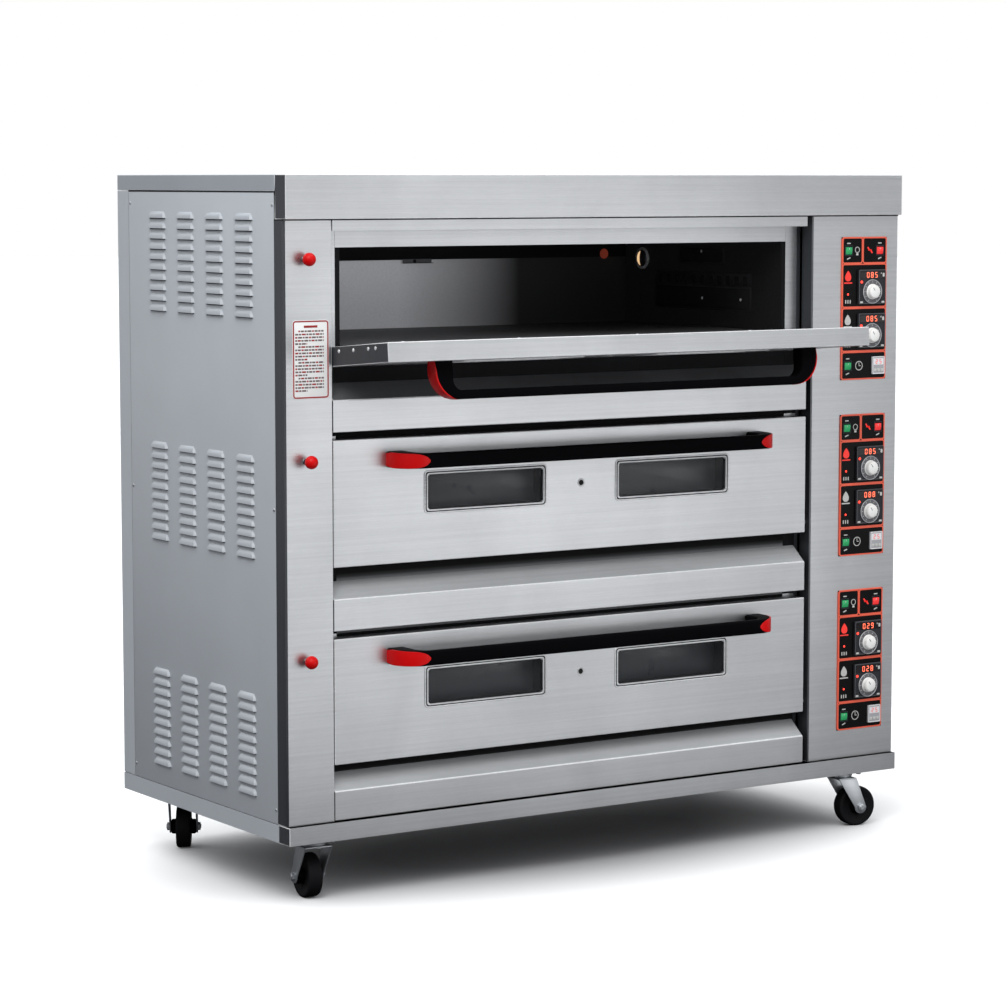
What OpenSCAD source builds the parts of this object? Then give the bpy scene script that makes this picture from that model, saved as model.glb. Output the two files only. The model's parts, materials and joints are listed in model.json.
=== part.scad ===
// Three-deck gas bakery oven on swivel casters.
// Working coordinates: X from the left end, Y back from the header's front face,
// Z up from the bottom edge of the base. in_frame() moves them to the part's own
// frame, whose origin is on the floor under the middle of the oven.

/* [Cabinet] */
// Overall width of the cabinet
body_w = 1740; // [1735:1:1760]
// Depth from the header's front face to the back panel
body_d = 823; // [820:1:860]
// Height from the base's bottom edge to the top cover
body_h = 1485; // [1484:1:1500]
// Height of the stainless header above the decks
header_h = 98; // [90:1:104]
// Height of the stainless base trim
base_h = 41; // [38:1:42]
// How far header and base trim wrap round the sides
trim_return = 48; // [44:1:52]
// Depth of the columns behind the header's front face
front_setback = 15; // [12:1:17]
// Width of the left column
left_column_w = 123.5; // [120:0.5:124]
// Width of the right column, which holds the controls
right_column_w = 270; // [262:1:272]
// Thickness of the cabinet's sheet metal
sheet = 1.5; // [1:0.1:2]

/* [Decks] */
// Vertical distance from one deck to the next
deck_pitch = 445; // [440:1:446]
// Bottom edge of the lowest door above the base's bottom edge
first_door_z = 168.5; // [166:0.5:172]
// Clear width of a baking chamber
chamber_w = 1241; // [1230:1:1245]
// Clear depth of a baking chamber
chamber_d = 655; // [640:1:665]
// Clear height of a chamber's mouth
mouth_h = 218; // [205:1:219]

/* [Doors] */
// Width of a door
door_w = 1331; // [1325:1:1331]
// Height of a door
door_h = 284; // [275:1:285]
// Thickness of a door
door_t = 44; // [38:1:45]
// Angle of a fully open door
door_swing = 85; // [70:1:88]
// Radius of the door's hinge pins
door_pin_r = 6; // [4:0.5:8]
// Outside width of a door handle
handle_w = 1058; // [900:1:1100]
// How far a handle stands out from its door
handle_reach = 85; // [70:1:95]

/* [Casters] */
// Height of the base's bottom edge above the floor
ride_h = 140; // [138:1:150]
// Diameter of a caster wheel
wheel_d = 100; // [90:1:104]
// Width of a caster wheel's tread
wheel_w = 34; // [28:1:38]
// Horizontal distance from swivel axis to wheel axle
caster_trail = 38; // [30:1:40]

/* [Controls] */
// Width of a control plate
plate_w = 140; // [137:1:150]
// Height of a control plate
plate_h = 350; // [345:1:355]
// Vertical distance from one control plate to the next
plate_pitch = 436; // [432:1:440]

/* [Hidden] */
$fn = 48;
cut = 1; // how far a cutting shape runs past the face that it opens

// Decks are numbered from the bottom: 0 lower, 1 middle, 2 upper
decks = [0, 1, 2];
top_deck = 2;

// Doors
door_x = left_column_w + 2;
pin_y = front_setback + door_t / 2; // hinge axis, half way through the door
pin_up = 23; // hinge axis above the door's bottom edge
door_top = door_h - pin_up; // door's top edge above the hinge axis
skin = 1.5; // sheet of the door leaf
leaf_end = 4; // thickness of the door's end plates, which carry the pins
window_w = 314;
window_h = 82;
window_r = 10;
window_up = 157 - pin_up; // window's centre above the hinge axis
window_offset = 263.5; // window's centre either side of the door's centre
window_rim = 6; // width of the wall left round each window
glass_t = 4;
glass_gap = 0.3;
handle_h = 34; // height of the handle's section
handle_up = 236 - pin_up; // handle's centre above the hinge axis
handle_foot = 46; // width of each handle foot
handle_bar = 20; // thickness of the handle's bar
handle_outer_r = 64;
handle_inner_r = 24;

// Chambers and the frame round their mouths
frame_y = front_setback + door_t + 2; // front of the face frame
frame_t = 2;
sill_up = 47; // deck plate's upper face above the door's bottom edge
chamber_x = door_x + door_w / 2 - chamber_w / 2;
chamber_y = frame_y + frame_t + 0.5;
liner = 2; // thickness of the chamber's plates
pit_up = -30; // floor of the burner pit above the door's bottom edge
ceiling_up = sill_up + mouth_h + 5;
deck_plate_t = 4;
seam = 0.5; // gap between neighbouring pieces
jamb_w = 35;
jamb_gap = 13; // from the chamber's side wall out to the jamb
crease_down = 72; // fascia's crease below the door's bottom edge
fascia_h = 71;
first_crease_down = 60; // the same on the lowest deck
first_fascia_h = 66; // the lowest fascia ends just above the base
slope_d = 45;
slope_h = 36;
lintel_h = 26;

// Burners and gas
burner_r = 16;
burner_wall = 1.5;
burner_ys = [230, 550];
low_burner_up = 5; // lower burners above the door's bottom edge
high_burner_up = 300; // upper burners above the door's bottom edge
burner_x = [200, 1500];
burner_hole_r = 17.5;
riser_x = 1545;
riser_y = 700;
riser_r = 17;
inlet_r = 13.2; // outside of a three-quarter-inch pipe thread
inlet_bore_r = 10;
inlet_z = 230;
rear_stub = 27; // how far flues and gas inlet stand out of the back panel
collar_gap = 3; // from the back panel to their full-size ends
cable_hole_r = 12.5;

// Flues and their dampers
flue_x = 55;
flue_r = 40;
flue_wall = 3;
flue_y = 640; // front mouth of a flue pipe
damper_up = 241; // damper rod above the door's bottom edge
damper_rod_r = 4;
damper_knob_r = 15;
damper_disc_r = 36;
damper_out = [0, 5, 0]; // how far each damper is pulled out at rest
knob_y = front_setback - 21;

// Controls, measured from the centre of a control plate
first_plate_z = 286;
plate_x = 1562.5;
panel_t = 3; // thickness of a control plate
switch_w = 19;
switch_h = 20;
switch_gap = 0.5;
switch_tilt = 6; // each rocker rests tilted this far
switch_row_up = 142; // upper row of switches above the plate's centre
timer_row_down = 141; // timer row below the plate's centre
left_switch_x = 20; // centre of the left switches from the plate's left edge
power_switch_x = 118;
controller_w = 84;
controller_x = 91; // controller's centre from the plate's left edge
controller_ups = [-54.5, 53]; // bottom heat, top heat
controller_proud = 5; // controller's face in front of the plate
controller_body = 78;
dial_down = 12; // dial's axis below the controller's centre
scale_ring_r = 30; // fixed ring round a dial
scale_ring_t = 1;
dial_r = 19;
dial_h = 14;
dial_stem_r = 3;
dial_stem = 14; // depth of the stem's bore behind the control plate
running_gap = 0.05; // radial clearance of every turning or sliding fit
timer_w = 38;
timer_h = 43;
timer_x = 114;

// Casters
swivel_xs = [91, 1608];
swivel_ys = [51, 693];
// Rest headings of the trailing wheels, front then rear, left then right
headings = [[85, -9], [59, 75]];
swivel_plate_t = 4;
race_r = 25;
race_h = 10;
fork_top_t = 4;
leg_t = 3;
leg_y = 31; // inner face of each fork leg from the wheel's middle
axle_r = 6;
kingpin_r = 6;
axle_z = wheel_d / 2 - ride_h;

// Side panels and their louvers
louver_w = 85;
louver_xs = [149, 289.5, 430, 570.5]; // front ends of the louver columns along Y
louver_rows = 10;
louver_pitch = 24;
louver_h = 16.5;
louver_reach = 6;
louver_groups = [90.5, 629.5, 1168.5]; // lip of the lowest louver in each group
side_flange = 36.5;
corner_wrap = 60; // how far the back panel wraps round the sides
column_extra = 5; // how far a column's edges reach past the trim
side_y = [trim_return + column_extra + seam, body_d - corner_wrap - seam];
screw_ys = [61, 755];
screw_zs = [73, 746, 1418];
screw_r = 4;

// The front-most point is the open top door's edge, the rear-most the flue pipes
front_reach = pin_y - door_top * sin(door_swing) - door_t / 2 * cos(door_swing);
mid_y = (front_reach + body_d + rear_stub) / 2;

module in_frame() translate([-body_w / 2, -mid_y, ride_h]) children();

module block(x, y, z)
    translate([x[0], y[0], z[0]]) cube([x[1] - x[0], y[1] - y[0], z[1] - z[0]]);

// Extrudes a Y-Z outline along X
module along_x(x) translate([x[0], 0, 0]) rotate([90, 0, 90]) linear_extrude(x[1] - x[0]) children();

// Extrudes an X-Z outline along Y
module along_y(y) translate([0, y[1], 0]) rotate([90, 0, 0]) linear_extrude(y[1] - y[0]) children();

module rod_x(x, r) translate([x[0], 0, 0]) rotate([0, 90, 0]) cylinder(h = x[1] - x[0], r = r);
module rod_y(y, r) translate([0, y[1], 0]) rotate([90, 0, 0]) cylinder(h = y[1] - y[0], r = r);

// Square with its corners rounded, centred on the origin
module rounded(w, h, r) {
    square([w - 2 * r, h], center = true);
    square([w, h - 2 * r], center = true);
    for (sx = [-1, 1], sz = [-1, 1]) translate([sx * (w / 2 - r), sz * (h / 2 - r)]) circle(r);
}

function door_z(k) = first_door_z + k * deck_pitch;
function pin_z(k) = door_z(k) + pin_up;
function plate_z(k) = first_plate_z + k * plate_pitch;

// ---- Cabinet ----

module base_frame() color("slategray") in_frame() {
    difference() {
        block([0, body_w], [trim_return + seam, body_d], [0, base_h - 1]);
        block([sheet, body_w - sheet], [trim_return, body_d - sheet], [-cut, base_h - 1 - sheet]);
    }
    // Cross channels that carry the caster plates
    for (y = swivel_ys) difference() {
        block([sheet, body_w - sheet], [y - 35, y + 45], [0, base_h - 1 - sheet]);
        block([-cut, body_w + cut], [y - 32, y + 42], [3, base_h]);
        for (x = swivel_xs) translate([x, y, -cut]) cylinder(h = 2 * cut + 3, r = kingpin_r + 4);
    }
}

// Trim folded round the front corners, open at the back
module corner_trim(z, front_y) difference() {
    block([0, body_w], [front_y, trim_return], z);
    block([sheet, body_w - sheet], [front_y + sheet, trim_return + cut], [z[0] - cut, z[1] + cut]);
}

module base_trim() color("silver") in_frame() difference() {
    corner_trim([0, base_h], 0);
    block([sheet, body_w - sheet], [sheet, trim_return + cut], [-cut, base_h + cut]);
}

module header_trim() color("silver") in_frame() {
    corner_trim([body_h - header_h, body_h - sheet], 0);
    block([0, body_w], [0, trim_return], [body_h - sheet, body_h]);
    block([sheet, body_w - sheet], [0, front_setback + 8], [body_h - header_h, body_h - header_h + sheet]);
}

module top_cover() color("slategray") in_frame() difference() {
    block([0, body_w], [trim_return + seam, body_d], [body_h - side_flange, body_h]);
    block([sheet, body_w - sheet], [trim_return, body_d - sheet], [body_h - side_flange - cut, body_h - sheet]);
}

// One pressed louver: a hood that opens downwards, with its lip at z
module louver_hood(z)
    polygon([[0, z + louver_h], [-louver_reach, z + 2], [-louver_reach, z], [sheet, z], [sheet, z + louver_h]]);

module louver_void(z)
    polygon([[0, z + louver_h - 3], [1 - louver_reach, z + 1], [1 - louver_reach, z - cut],
             [-sheet, z - cut], [0, z + 2], [sheet + cut, z + 2], [sheet + cut, z + louver_h - 3]]);

module side_panel() difference() {
    union() {
        block([0, sheet], side_y, [base_h + seam, body_h - side_flange - seam]);
        for (y = louver_xs, g = louver_groups, row = [0 : louver_rows - 1])
            along_y([y, y + louver_w]) louver_hood(g + row * louver_pitch);
    }
    for (y = louver_xs, g = louver_groups, row = [0 : louver_rows - 1])
        along_y([y + sheet, y + louver_w - sheet]) louver_void(g + row * louver_pitch);
    for (y = screw_ys, z = screw_zs)
        translate([0, y, z]) rod_x([-cut, sheet + cut], screw_r / 2 + 0.1);
}

module left_side_panel() color("lightslategray") in_frame() side_panel();

module right_side_panel() color("lightslategray") in_frame() translate([body_w, 0, 0]) mirror([1, 0, 0]) side_panel();

module back_panel() color("slategray") in_frame() difference() {
    block([0, body_w], [body_d - corner_wrap, body_d], [base_h + seam, body_h - side_flange - seam]);
    block([sheet, body_w - sheet], [body_d - corner_wrap - cut, body_d - sheet], [0, body_h]);
    for (k = decks) translate([flue_x, 0, door_z(k) + damper_up])
        rod_y([body_d - 2 * cut, body_d + cut], flue_r + seam);
    translate([riser_x, 0, inlet_z]) rod_y([body_d - 2 * cut - sheet, body_d + cut], inlet_r + seam);
    translate([riser_x + 100, 0, inlet_z]) rod_y([body_d - 2 * cut - sheet, body_d + cut], cable_hole_r);
}

// A column is a sheet folded back at both edges
module column(x, z) {
    block(x, [front_setback, front_setback + sheet], z);
    for (edge = [x[0], x[1] - sheet]) block([edge, edge + sheet], [front_setback, trim_return + column_extra], z);
}

column_z = [base_h + seam, body_h - header_h - seam];

module left_column() color("silver") in_frame() difference() {
    column([0, left_column_w], column_z);
    for (k = decks) {
        translate([flue_x, 0, door_z(k) + damper_up])
            rod_y([0, trim_return], damper_rod_r + running_gap);
        translate([0, pin_y, pin_z(k)])
            rod_x([left_column_w - 5, left_column_w + cut], door_pin_r + running_gap);
    }
}

module right_column() color("silver") in_frame() difference() {
    column([body_w - right_column_w, body_w], column_z);
    for (k = decks) {
        translate([0, pin_y, pin_z(k)])
            rod_x([body_w - right_column_w - cut, body_w - right_column_w + 5], door_pin_r + running_gap);
        // Cut-out behind the control plate
        block([plate_x + 5, plate_x + plate_w - 5], [0, front_setback + 5],
              [plate_z(k) - plate_h / 2 + 6, plate_z(k) + plate_h / 2 - 6]);
    }
}

// Fascia under a door: upright face, sloped sill and a lip folded back at the bottom
module fascia(k) {
    top = door_z(k) - (k == 0 ? first_crease_down : crease_down);
    bottom = top - (k == 0 ? first_fascia_h : fascia_h);
    along_x([door_x, door_x + door_w - 1]) polygon([
        [front_setback, bottom], [front_setback, top],
        [front_setback + slope_d, top + slope_h], [front_setback + slope_d, top + slope_h - 2 * sheet],
        [front_setback + sheet, top - sheet], [front_setback + sheet, bottom + sheet],
        [front_setback + 15, bottom + sheet], [front_setback + 15, bottom]]);
}

module deck_fascias() color("silver") in_frame() {
    for (k = decks) fascia(k);
    block([door_x, door_x + door_w - 1], [front_setback, front_setback + 2 * sheet],
          [body_h - header_h - lintel_h, body_h - header_h - seam]);
}

// Two jambs with rails below, between and above the chamber mouths
module face_frame() color("darkgray") in_frame() {
    jamb_z = [base_h + 2, body_h - header_h + 20];
    frame_ys = [frame_y, frame_y + frame_t];
    left = chamber_x - jamb_gap;
    right = chamber_x + chamber_w + jamb_gap;
    block([left - jamb_w, left], frame_ys, jamb_z);
    block([right, body_w - right_column_w - seam], frame_ys, jamb_z);
    for (k = [0 : top_deck + 1]) {
        low = k == 0 ? jamb_z[0] : door_z(k - 1) + sill_up + mouth_h;
        high = k > top_deck ? jamb_z[1] : door_z(k) + sill_up;
        block([left + seam, right - seam], frame_ys, [low, high]);
    }
}

// ---- Baking chambers ----

// Five separate plates round the chamber and the burner pit beneath it
module chamber(k) color("dimgray") in_frame() {
    x = [chamber_x, chamber_x + chamber_w];
    y = [chamber_y, chamber_y + chamber_d];
    z = [door_z(k) + pit_up, door_z(k) + ceiling_up];
    block(x, [y[0], y[1]], [z[0] - liner, z[0] - 0.1]);
    block(x, [y[0], y[1]], [z[1] + 0.1, z[1] + liner]);
    block([x[0] - liner, x[0] - 0.1], [y[0], y[1]], [z[0] - liner, z[1] + liner]);
    difference() {
        block([x[1] + 0.1, x[1] + liner], [y[0], y[1]], [z[0] - liner, z[1] + liner]);
        for (by = burner_ys) translate([0, by, door_z(k) + low_burner_up])
            rod_x([x[1] - cut, x[1] + liner + cut], burner_hole_r);
        translate([0, lamp_y, door_z(k) + lamp_up]) rod_x([x[1] - cut, x[1] + liner + cut], lamp_stub_r + seam);
    }
    block([x[0] - liner, x[1] + liner], [y[1] + 0.1, y[1] + liner], [z[0] - liner, z[1] + liner]);
}

module lower_chamber() chamber(0);
module middle_chamber() chamber(1);
module upper_chamber() chamber(2);

module deck_plates() color("dimgray") in_frame() for (k = decks)
    block([chamber_x + 2, chamber_x + chamber_w - 2], [chamber_y, chamber_y + chamber_d - 2],
          [door_z(k) + sill_up - deck_plate_t, door_z(k) + sill_up]);

module tube_x(x, r, wall) difference() {
    rod_x(x, r);
    rod_x([x[0] + wall, x[1] + cut], r - wall);
}

module burners() color("gray") in_frame() for (k = decks, y = burner_ys, up = [low_burner_up, high_burner_up])
    translate([0, y, door_z(k) + up]) tube_x(burner_x, burner_r, burner_wall);

// Riser with an inlet through the back panel, a branch and valve for each deck,
// and a jet pipe at every pair of burners
module gas_manifold() color("goldenrod") in_frame() {
    difference() {
        union() {
            translate([riser_x, riser_y, inlet_z - 40]) cylinder(h = door_z(top_deck) - 40, r = riser_r);
            translate([riser_x, 0, inlet_z]) rod_y([riser_y, body_d + collar_gap], inlet_r - 1);
            translate([riser_x, 0, inlet_z]) rod_y([body_d + collar_gap, body_d + rear_stub], inlet_r);
        }
        translate([riser_x, 0, inlet_z]) rod_y([riser_y, body_d + rear_stub + cut], inlet_bore_r);
    }
    for (k = decks) {
        branch_z = door_z(k) + 150;
        translate([riser_x, 0, branch_z]) rod_y([burner_ys[0], riser_y], 10);
        block([riser_x - 30, riser_x + 30], [600, 670], [branch_z - 35, branch_z + 45]);
        for (y = burner_ys) {
            translate([riser_x, y, door_z(k) + low_burner_up - 8])
                cylinder(h = high_burner_up - low_burner_up + 16, r = 8);
            for (up = [low_burner_up, high_burner_up])
                translate([0, y, door_z(k) + up]) rod_x([burner_x[1] - 20, riser_x], 5);
        }
    }
}

module flue_pipes() color("gray") in_frame() for (k = decks) translate([flue_x, 0, door_z(k) + damper_up])
    difference() {
        union() {
            rod_y([flue_y, body_d + collar_gap], flue_r - 1);
            rod_y([body_d + collar_gap, body_d + rear_stub], flue_r);
        }
        rod_y([flue_y - cut, body_d + rear_stub + cut], flue_r - flue_wall);
    }

wool_set_back = 40; // from the chamber's mouth back to the wool's front edge

// Slabs of mineral wool left, right and behind the chambers, and between the decks
module insulation() color("khaki") in_frame() {
    z = [base_h + 20, body_h - side_flange - 10];
    x = [chamber_x - liner - seam, chamber_x + chamber_w + liner + seam];
    y = [chamber_y + wool_set_back, chamber_y + chamber_d + liner + seam];
    block([x[0] - 60, x[0]], [y[0], y[1]], z);
    difference() {
        block([x[1], x[1] + 46], [y[0], y[1]], z);
        for (k = decks, by = burner_ys, up = [low_burner_up, high_burner_up])
            translate([0, by, door_z(k) + up]) rod_x([x[1] - cut, x[1] + 46 + cut], burner_hole_r);
        for (k = decks) translate([0, lamp_y, door_z(k) + lamp_up])
            rod_x([x[1] - cut, x[1] + 46 + cut], lamp_stub_r + seam);
    }
    block([x[0] - 60, x[1] + 46], [y[1] + seam, y[1] + 60], z);
    for (k = decks) {
        low = door_z(k) + high_burner_up + burner_r + 6;
        high = k == top_deck ? z[1] : door_z(k + 1) + pit_up - liner - seam;
        block([x[0] + seam, x[1] - seam], [y[0], y[1] - seam], [low, high]);
    }
    block([x[0] + seam, x[1] - seam], [y[0], y[1] - seam], [z[0], door_z(0) + pit_up - liner - seam]);
}

lamp_y = 640;
lamp_up = 213;
lamp_r = 28;
lamp_stub_r = 18;

module oven_lamps() color("lightyellow") in_frame() for (k = decks)
    translate([chamber_x + chamber_w, lamp_y, door_z(k) + lamp_up]) {
        rod_x([-8, 0], lamp_r);
        rod_x([-1, 60], lamp_stub_r);
    }

// ---- Controls ----

module control_plates() color("black") in_frame() for (k = decks)
    translate([plate_x, front_setback, plate_z(k)]) difference() {
        block([0, plate_w], [-panel_t, 0], [-plate_h / 2, plate_h / 2]);
        for (x = [left_switch_x, power_switch_x]) switch_hole(x, switch_row_up);
        switch_hole(left_switch_x, -timer_row_down);
        for (up = controller_ups)
            block([controller_x - controller_body / 2 - 1, controller_x + controller_body / 2 + 1],
                  [-panel_t - cut, cut], [up - controller_body / 2 - 1, up + controller_body / 2 + 1]);
        block([timer_x - timer_w / 2 + 1, timer_x + timer_w / 2 - 1], [-panel_t - cut, cut],
              [-timer_row_down - timer_h / 2 + 1, -timer_row_down + timer_h / 2 - 1]);
    }

module switch_hole(x, up)
    block([x - switch_w / 2 - switch_gap, x + switch_w / 2 + switch_gap], [-panel_t - cut, cut],
          [up - switch_h / 2 - switch_gap, up + switch_h / 2 + switch_gap]);

module temperature_controllers() color("darkslategray") in_frame() for (k = decks, up = controller_ups)
    translate([plate_x + controller_x, front_setback - panel_t, plate_z(k) + up]) difference() {
        union() {
            block([-controller_w / 2, controller_w / 2], [-controller_proud, -0.1],
                  [-controller_w / 2, controller_w / 2]);
            block([-controller_body / 2, controller_body / 2], [-1, 70], [-controller_body / 2, controller_body / 2]);
            translate([0, 0, -dial_down]) rod_y([-controller_proud - scale_ring_t, -1], scale_ring_r);
        }
        translate([0, 0, -dial_down]) rod_y([-controller_proud - 2 * cut, dial_stem], dial_stem_r + running_gap);
    }

module timers() color("whitesmoke") in_frame() for (k = decks)
    translate([plate_x + timer_x, front_setback - panel_t, plate_z(k) - timer_row_down]) {
        block([-timer_w / 2, timer_w / 2], [-5, -0.1], [-timer_h / 2, timer_h / 2]);
        block([-timer_w / 2 + 2, timer_w / 2 - 2], [-1, 45], [-timer_h / 2 + 2, timer_h / 2 - 2]);
    }

// A rocker turns about an axis along X in the middle of the plate's thickness
module rocker(k, x, up, tint) color(tint) in_frame()
    translate([plate_x + x, front_setback - panel_t / 2, plate_z(k) + up]) rotate([switch_tilt, 0, 0])
        along_x([-switch_w / 2, switch_w / 2]) polygon([
            [-3, -switch_h / 2 + 1], [-4.5, 0], [-3, switch_h / 2 - 1], [7, switch_h / 2 - 3], [7, 3 - switch_h / 2]]);

module lower_lamp_switch() rocker(0, left_switch_x, switch_row_up, "green");
module middle_lamp_switch() rocker(1, left_switch_x, switch_row_up, "green");
module upper_lamp_switch() rocker(2, left_switch_x, switch_row_up, "green");
module lower_power_switch() rocker(0, power_switch_x, switch_row_up, "red");
module middle_power_switch() rocker(1, power_switch_x, switch_row_up, "red");
module upper_power_switch() rocker(2, power_switch_x, switch_row_up, "red");
module lower_timer_switch() rocker(0, left_switch_x, -timer_row_down, "green");
module middle_timer_switch() rocker(1, left_switch_x, -timer_row_down, "green");
module upper_timer_switch() rocker(2, left_switch_x, -timer_row_down, "green");

// Dial: knob and a stem that runs in the controller
module heat_dial(k, n) color("white") in_frame()
    translate([plate_x + controller_x, front_setback - panel_t - controller_proud,
               plate_z(k) + controller_ups[n] - dial_down]) {
        rod_y([-dial_h, -scale_ring_t - seam], dial_r);
        rod_y([-scale_ring_t - 1, dial_stem + controller_proud - cut], dial_stem_r);
    }

module lower_top_heat_dial() heat_dial(0, 1);
module middle_top_heat_dial() heat_dial(1, 1);
module upper_top_heat_dial() heat_dial(2, 1);
module lower_bottom_heat_dial() heat_dial(0, 0);
module middle_bottom_heat_dial() heat_dial(1, 0);
module upper_bottom_heat_dial() heat_dial(2, 0);

// ---- Doors ----

// Places a door's pieces, drawn about its hinge axis, at their rest angle
module on_hinge(k) in_frame() translate([door_x, pin_y, pin_z(k)])
    rotate([k == top_deck ? door_swing : 0, 0, 0]) children();

// Door's section: flat front, back rounded off about the hinge pins
module leaf_section() {
    translate([-door_t / 2, 0]) square([door_t, door_top]);
    translate([-door_t / 2, -pin_up]) square([door_t / 2, pin_up + cut]);
    circle(door_t / 2);
}

module at_windows() for (side = [-1, 1])
    translate([door_w / 2 + side * window_offset, 0, window_up]) children();

module door_leaf(k) color("silver") on_hinge(k) {
    difference() {
        along_x([0, door_w]) leaf_section();
        difference() {
            block([leaf_end, door_w - leaf_end], [skin - door_t / 2, door_t / 2 - skin], [skin, door_top - skin]);
            at_windows() block([-window_w / 2 - window_rim, window_w / 2 + window_rim], [-door_t, door_t],
                               [-window_h / 2 - window_rim, window_h / 2 + window_rim]);
        }
        at_windows() along_y([-door_t, door_t]) rounded(window_w, window_h, window_r);
        // Vents along the bottom edge
        for (n = [1 : 4]) block([n * door_w / 5 - 40, n * door_w / 5 + 40], [-15, -9], [-pin_up - cut, 2 * skin]);
    }
    rod_x([-5, leaf_end], door_pin_r);
    rod_x([door_w - leaf_end, body_w - right_column_w - door_x + 4], door_pin_r);
}

module door_glass(k) color("dimgray", 0.6) on_hinge(k) at_windows()
    for (y = [skin - door_t / 2, door_t / 2 - skin - glass_t]) along_y([y, y + glass_t])
        rounded(window_w - 2 * glass_gap, window_h - 2 * glass_gap, window_r);

// Bow handle: two broad feet and a bar, rounded outside and inside
module door_handle(k) color("black") on_hinge(k)
    translate([door_w / 2, -door_t / 2, handle_up - handle_h / 2]) linear_extrude(handle_h) difference() {
        intersection() {
            rounded(handle_w, 2 * handle_reach, handle_outer_r);
            translate([-handle_w / 2, -handle_reach]) square([handle_w, handle_reach]);
        }
        rounded(handle_w - 2 * handle_foot, 2 * (handle_reach - handle_bar), handle_inner_r);
    }

module lower_door() door_leaf(0);
module middle_door() door_leaf(1);
module upper_door() door_leaf(2);
module lower_door_glass() door_glass(0);
module middle_door_glass() door_glass(1);
module upper_door_glass() door_glass(2);
module lower_door_handle() door_handle(0);
module middle_door_handle() door_handle(1);
module upper_door_handle() door_handle(2);

// Damper: ball knob, pull rod and the disc that closes its flue pipe
module damper(k) color("red") in_frame() translate([flue_x, -damper_out[k], door_z(k) + damper_up]) {
    translate([0, knob_y, 0]) sphere(r = damper_knob_r);
    rod_y([knob_y, flue_y + 22], damper_rod_r);
    rod_y([flue_y + 18, flue_y + 22], damper_disc_r);
}

module lower_damper() damper(0);
module middle_damper() damper(1);
module upper_damper() damper(2);

// ---- Casters ----

module caster_plates() color("gray") in_frame() for (x = swivel_xs, y = swivel_ys) translate([x, y, 0])
    difference() {
        union() {
            block([-45, 45], [-33, 37], [-swivel_plate_t, 0]);
            translate([0, 0, -swivel_plate_t - race_h]) cylinder(h = race_h + cut, r = race_r);
        }
        translate([0, 0, -swivel_plate_t - race_h - cut])
            cylinder(h = race_h + swivel_plate_t + 2 * cut, r = kingpin_r + running_gap);
        for (sx = [-36, 36], sy = [-24, 28]) translate([sx, sy, -swivel_plate_t - cut])
            cylinder(h = swivel_plate_t + 2 * cut, r = 4.2);
    }

// Places a caster's pieces about its swivel axis, with the wheel trailing along +X
module on_swivel(row, side) in_frame()
    translate([swivel_xs[side], swivel_ys[row], 0]) rotate([0, 0, headings[row][side]]) children();

module fork_leg() {
    polygon([[-24, fork_z[0]], [24, fork_z[0]], [caster_trail + 14, axle_z + 3], [caster_trail - 14, axle_z - 3]]);
    translate([caster_trail, axle_z]) circle(14);
}

fork_z = [-swivel_plate_t - race_h - fork_top_t - 0.4, -swivel_plate_t - race_h - 0.4];

module fork(row, side) color("gray") on_swivel(row, side) {
    block([-24, 24], [-leg_y - leg_t, leg_y + leg_t], fork_z);
    translate([0, 0, fork_z[0]]) cylinder(h = -fork_z[0] - 1, r = kingpin_r);
    for (y = [-leg_y - leg_t, leg_y]) along_y([y, y + leg_t]) fork_leg();
    translate([caster_trail, 0, axle_z]) {
        rod_y([-leg_y - leg_t - 8, leg_y + leg_t + 8], axle_r);
        for (y = [-leg_y - leg_t - 7, leg_y + leg_t]) rod_y([y, y + 7], 10, $fn = 6);
    }
}

module wheel(row, side) color("black") on_swivel(row, side) translate([caster_trail, 0, axle_z])
    rotate([90, 0, 0]) rotate_extrude($fn = 72) polygon([
        [axle_r + running_gap, -leg_y + 0.4], [18, -leg_y + 0.4], [20, 4 - wheel_w / 2], [38, 3 - wheel_w / 2],
        [wheel_d / 2 - 4, -wheel_w / 2], [wheel_d / 2, 4 - wheel_w / 2], [wheel_d / 2, wheel_w / 2 - 4],
        [wheel_d / 2 - 4, wheel_w / 2], [38, wheel_w / 2 - 3], [20, wheel_w / 2 - 4],
        [18, leg_y - 0.4], [axle_r + running_gap, leg_y - 0.4]]);

module front_left_fork() fork(0, 0);
module front_right_fork() fork(0, 1);
module rear_left_fork() fork(1, 0);
module rear_right_fork() fork(1, 1);
module front_left_wheel() wheel(0, 0);
module front_right_wheel() wheel(0, 1);
module rear_left_wheel() wheel(1, 0);
module rear_right_wheel() wheel(1, 1);

// Round-headed screws that hold both side panels
module panel_screws() color("gray") in_frame() for (side = [0, 1], y = screw_ys, z = screw_zs)
    translate([side * body_w, y, z]) mirror([side, 0, 0]) {
        rod_x([-1.5, -0.05], screw_r);
        rod_x([-1, 8], screw_r / 2);
    }

base_frame();
base_trim();
header_trim();
top_cover();
left_side_panel();
right_side_panel();
back_panel();
left_column();
right_column();
deck_fascias();
face_frame();
lower_chamber();
middle_chamber();
upper_chamber();
deck_plates();
burners();
gas_manifold();
flue_pipes();
insulation();
control_plates();
temperature_controllers();
timers();
oven_lamps();
caster_plates();
panel_screws();
lower_door();
middle_door();
upper_door();
lower_door_glass();
middle_door_glass();
upper_door_glass();
lower_door_handle();
middle_door_handle();
upper_door_handle();
lower_damper();
middle_damper();
upper_damper();
lower_lamp_switch();
middle_lamp_switch();
upper_lamp_switch();
lower_power_switch();
middle_power_switch();
upper_power_switch();
lower_timer_switch();
middle_timer_switch();
upper_timer_switch();
lower_top_heat_dial();
middle_top_heat_dial();
upper_top_heat_dial();
lower_bottom_heat_dial();
middle_bottom_heat_dial();
upper_bottom_heat_dial();
front_left_fork();
front_right_fork();
rear_left_fork();
rear_right_fork();
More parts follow.
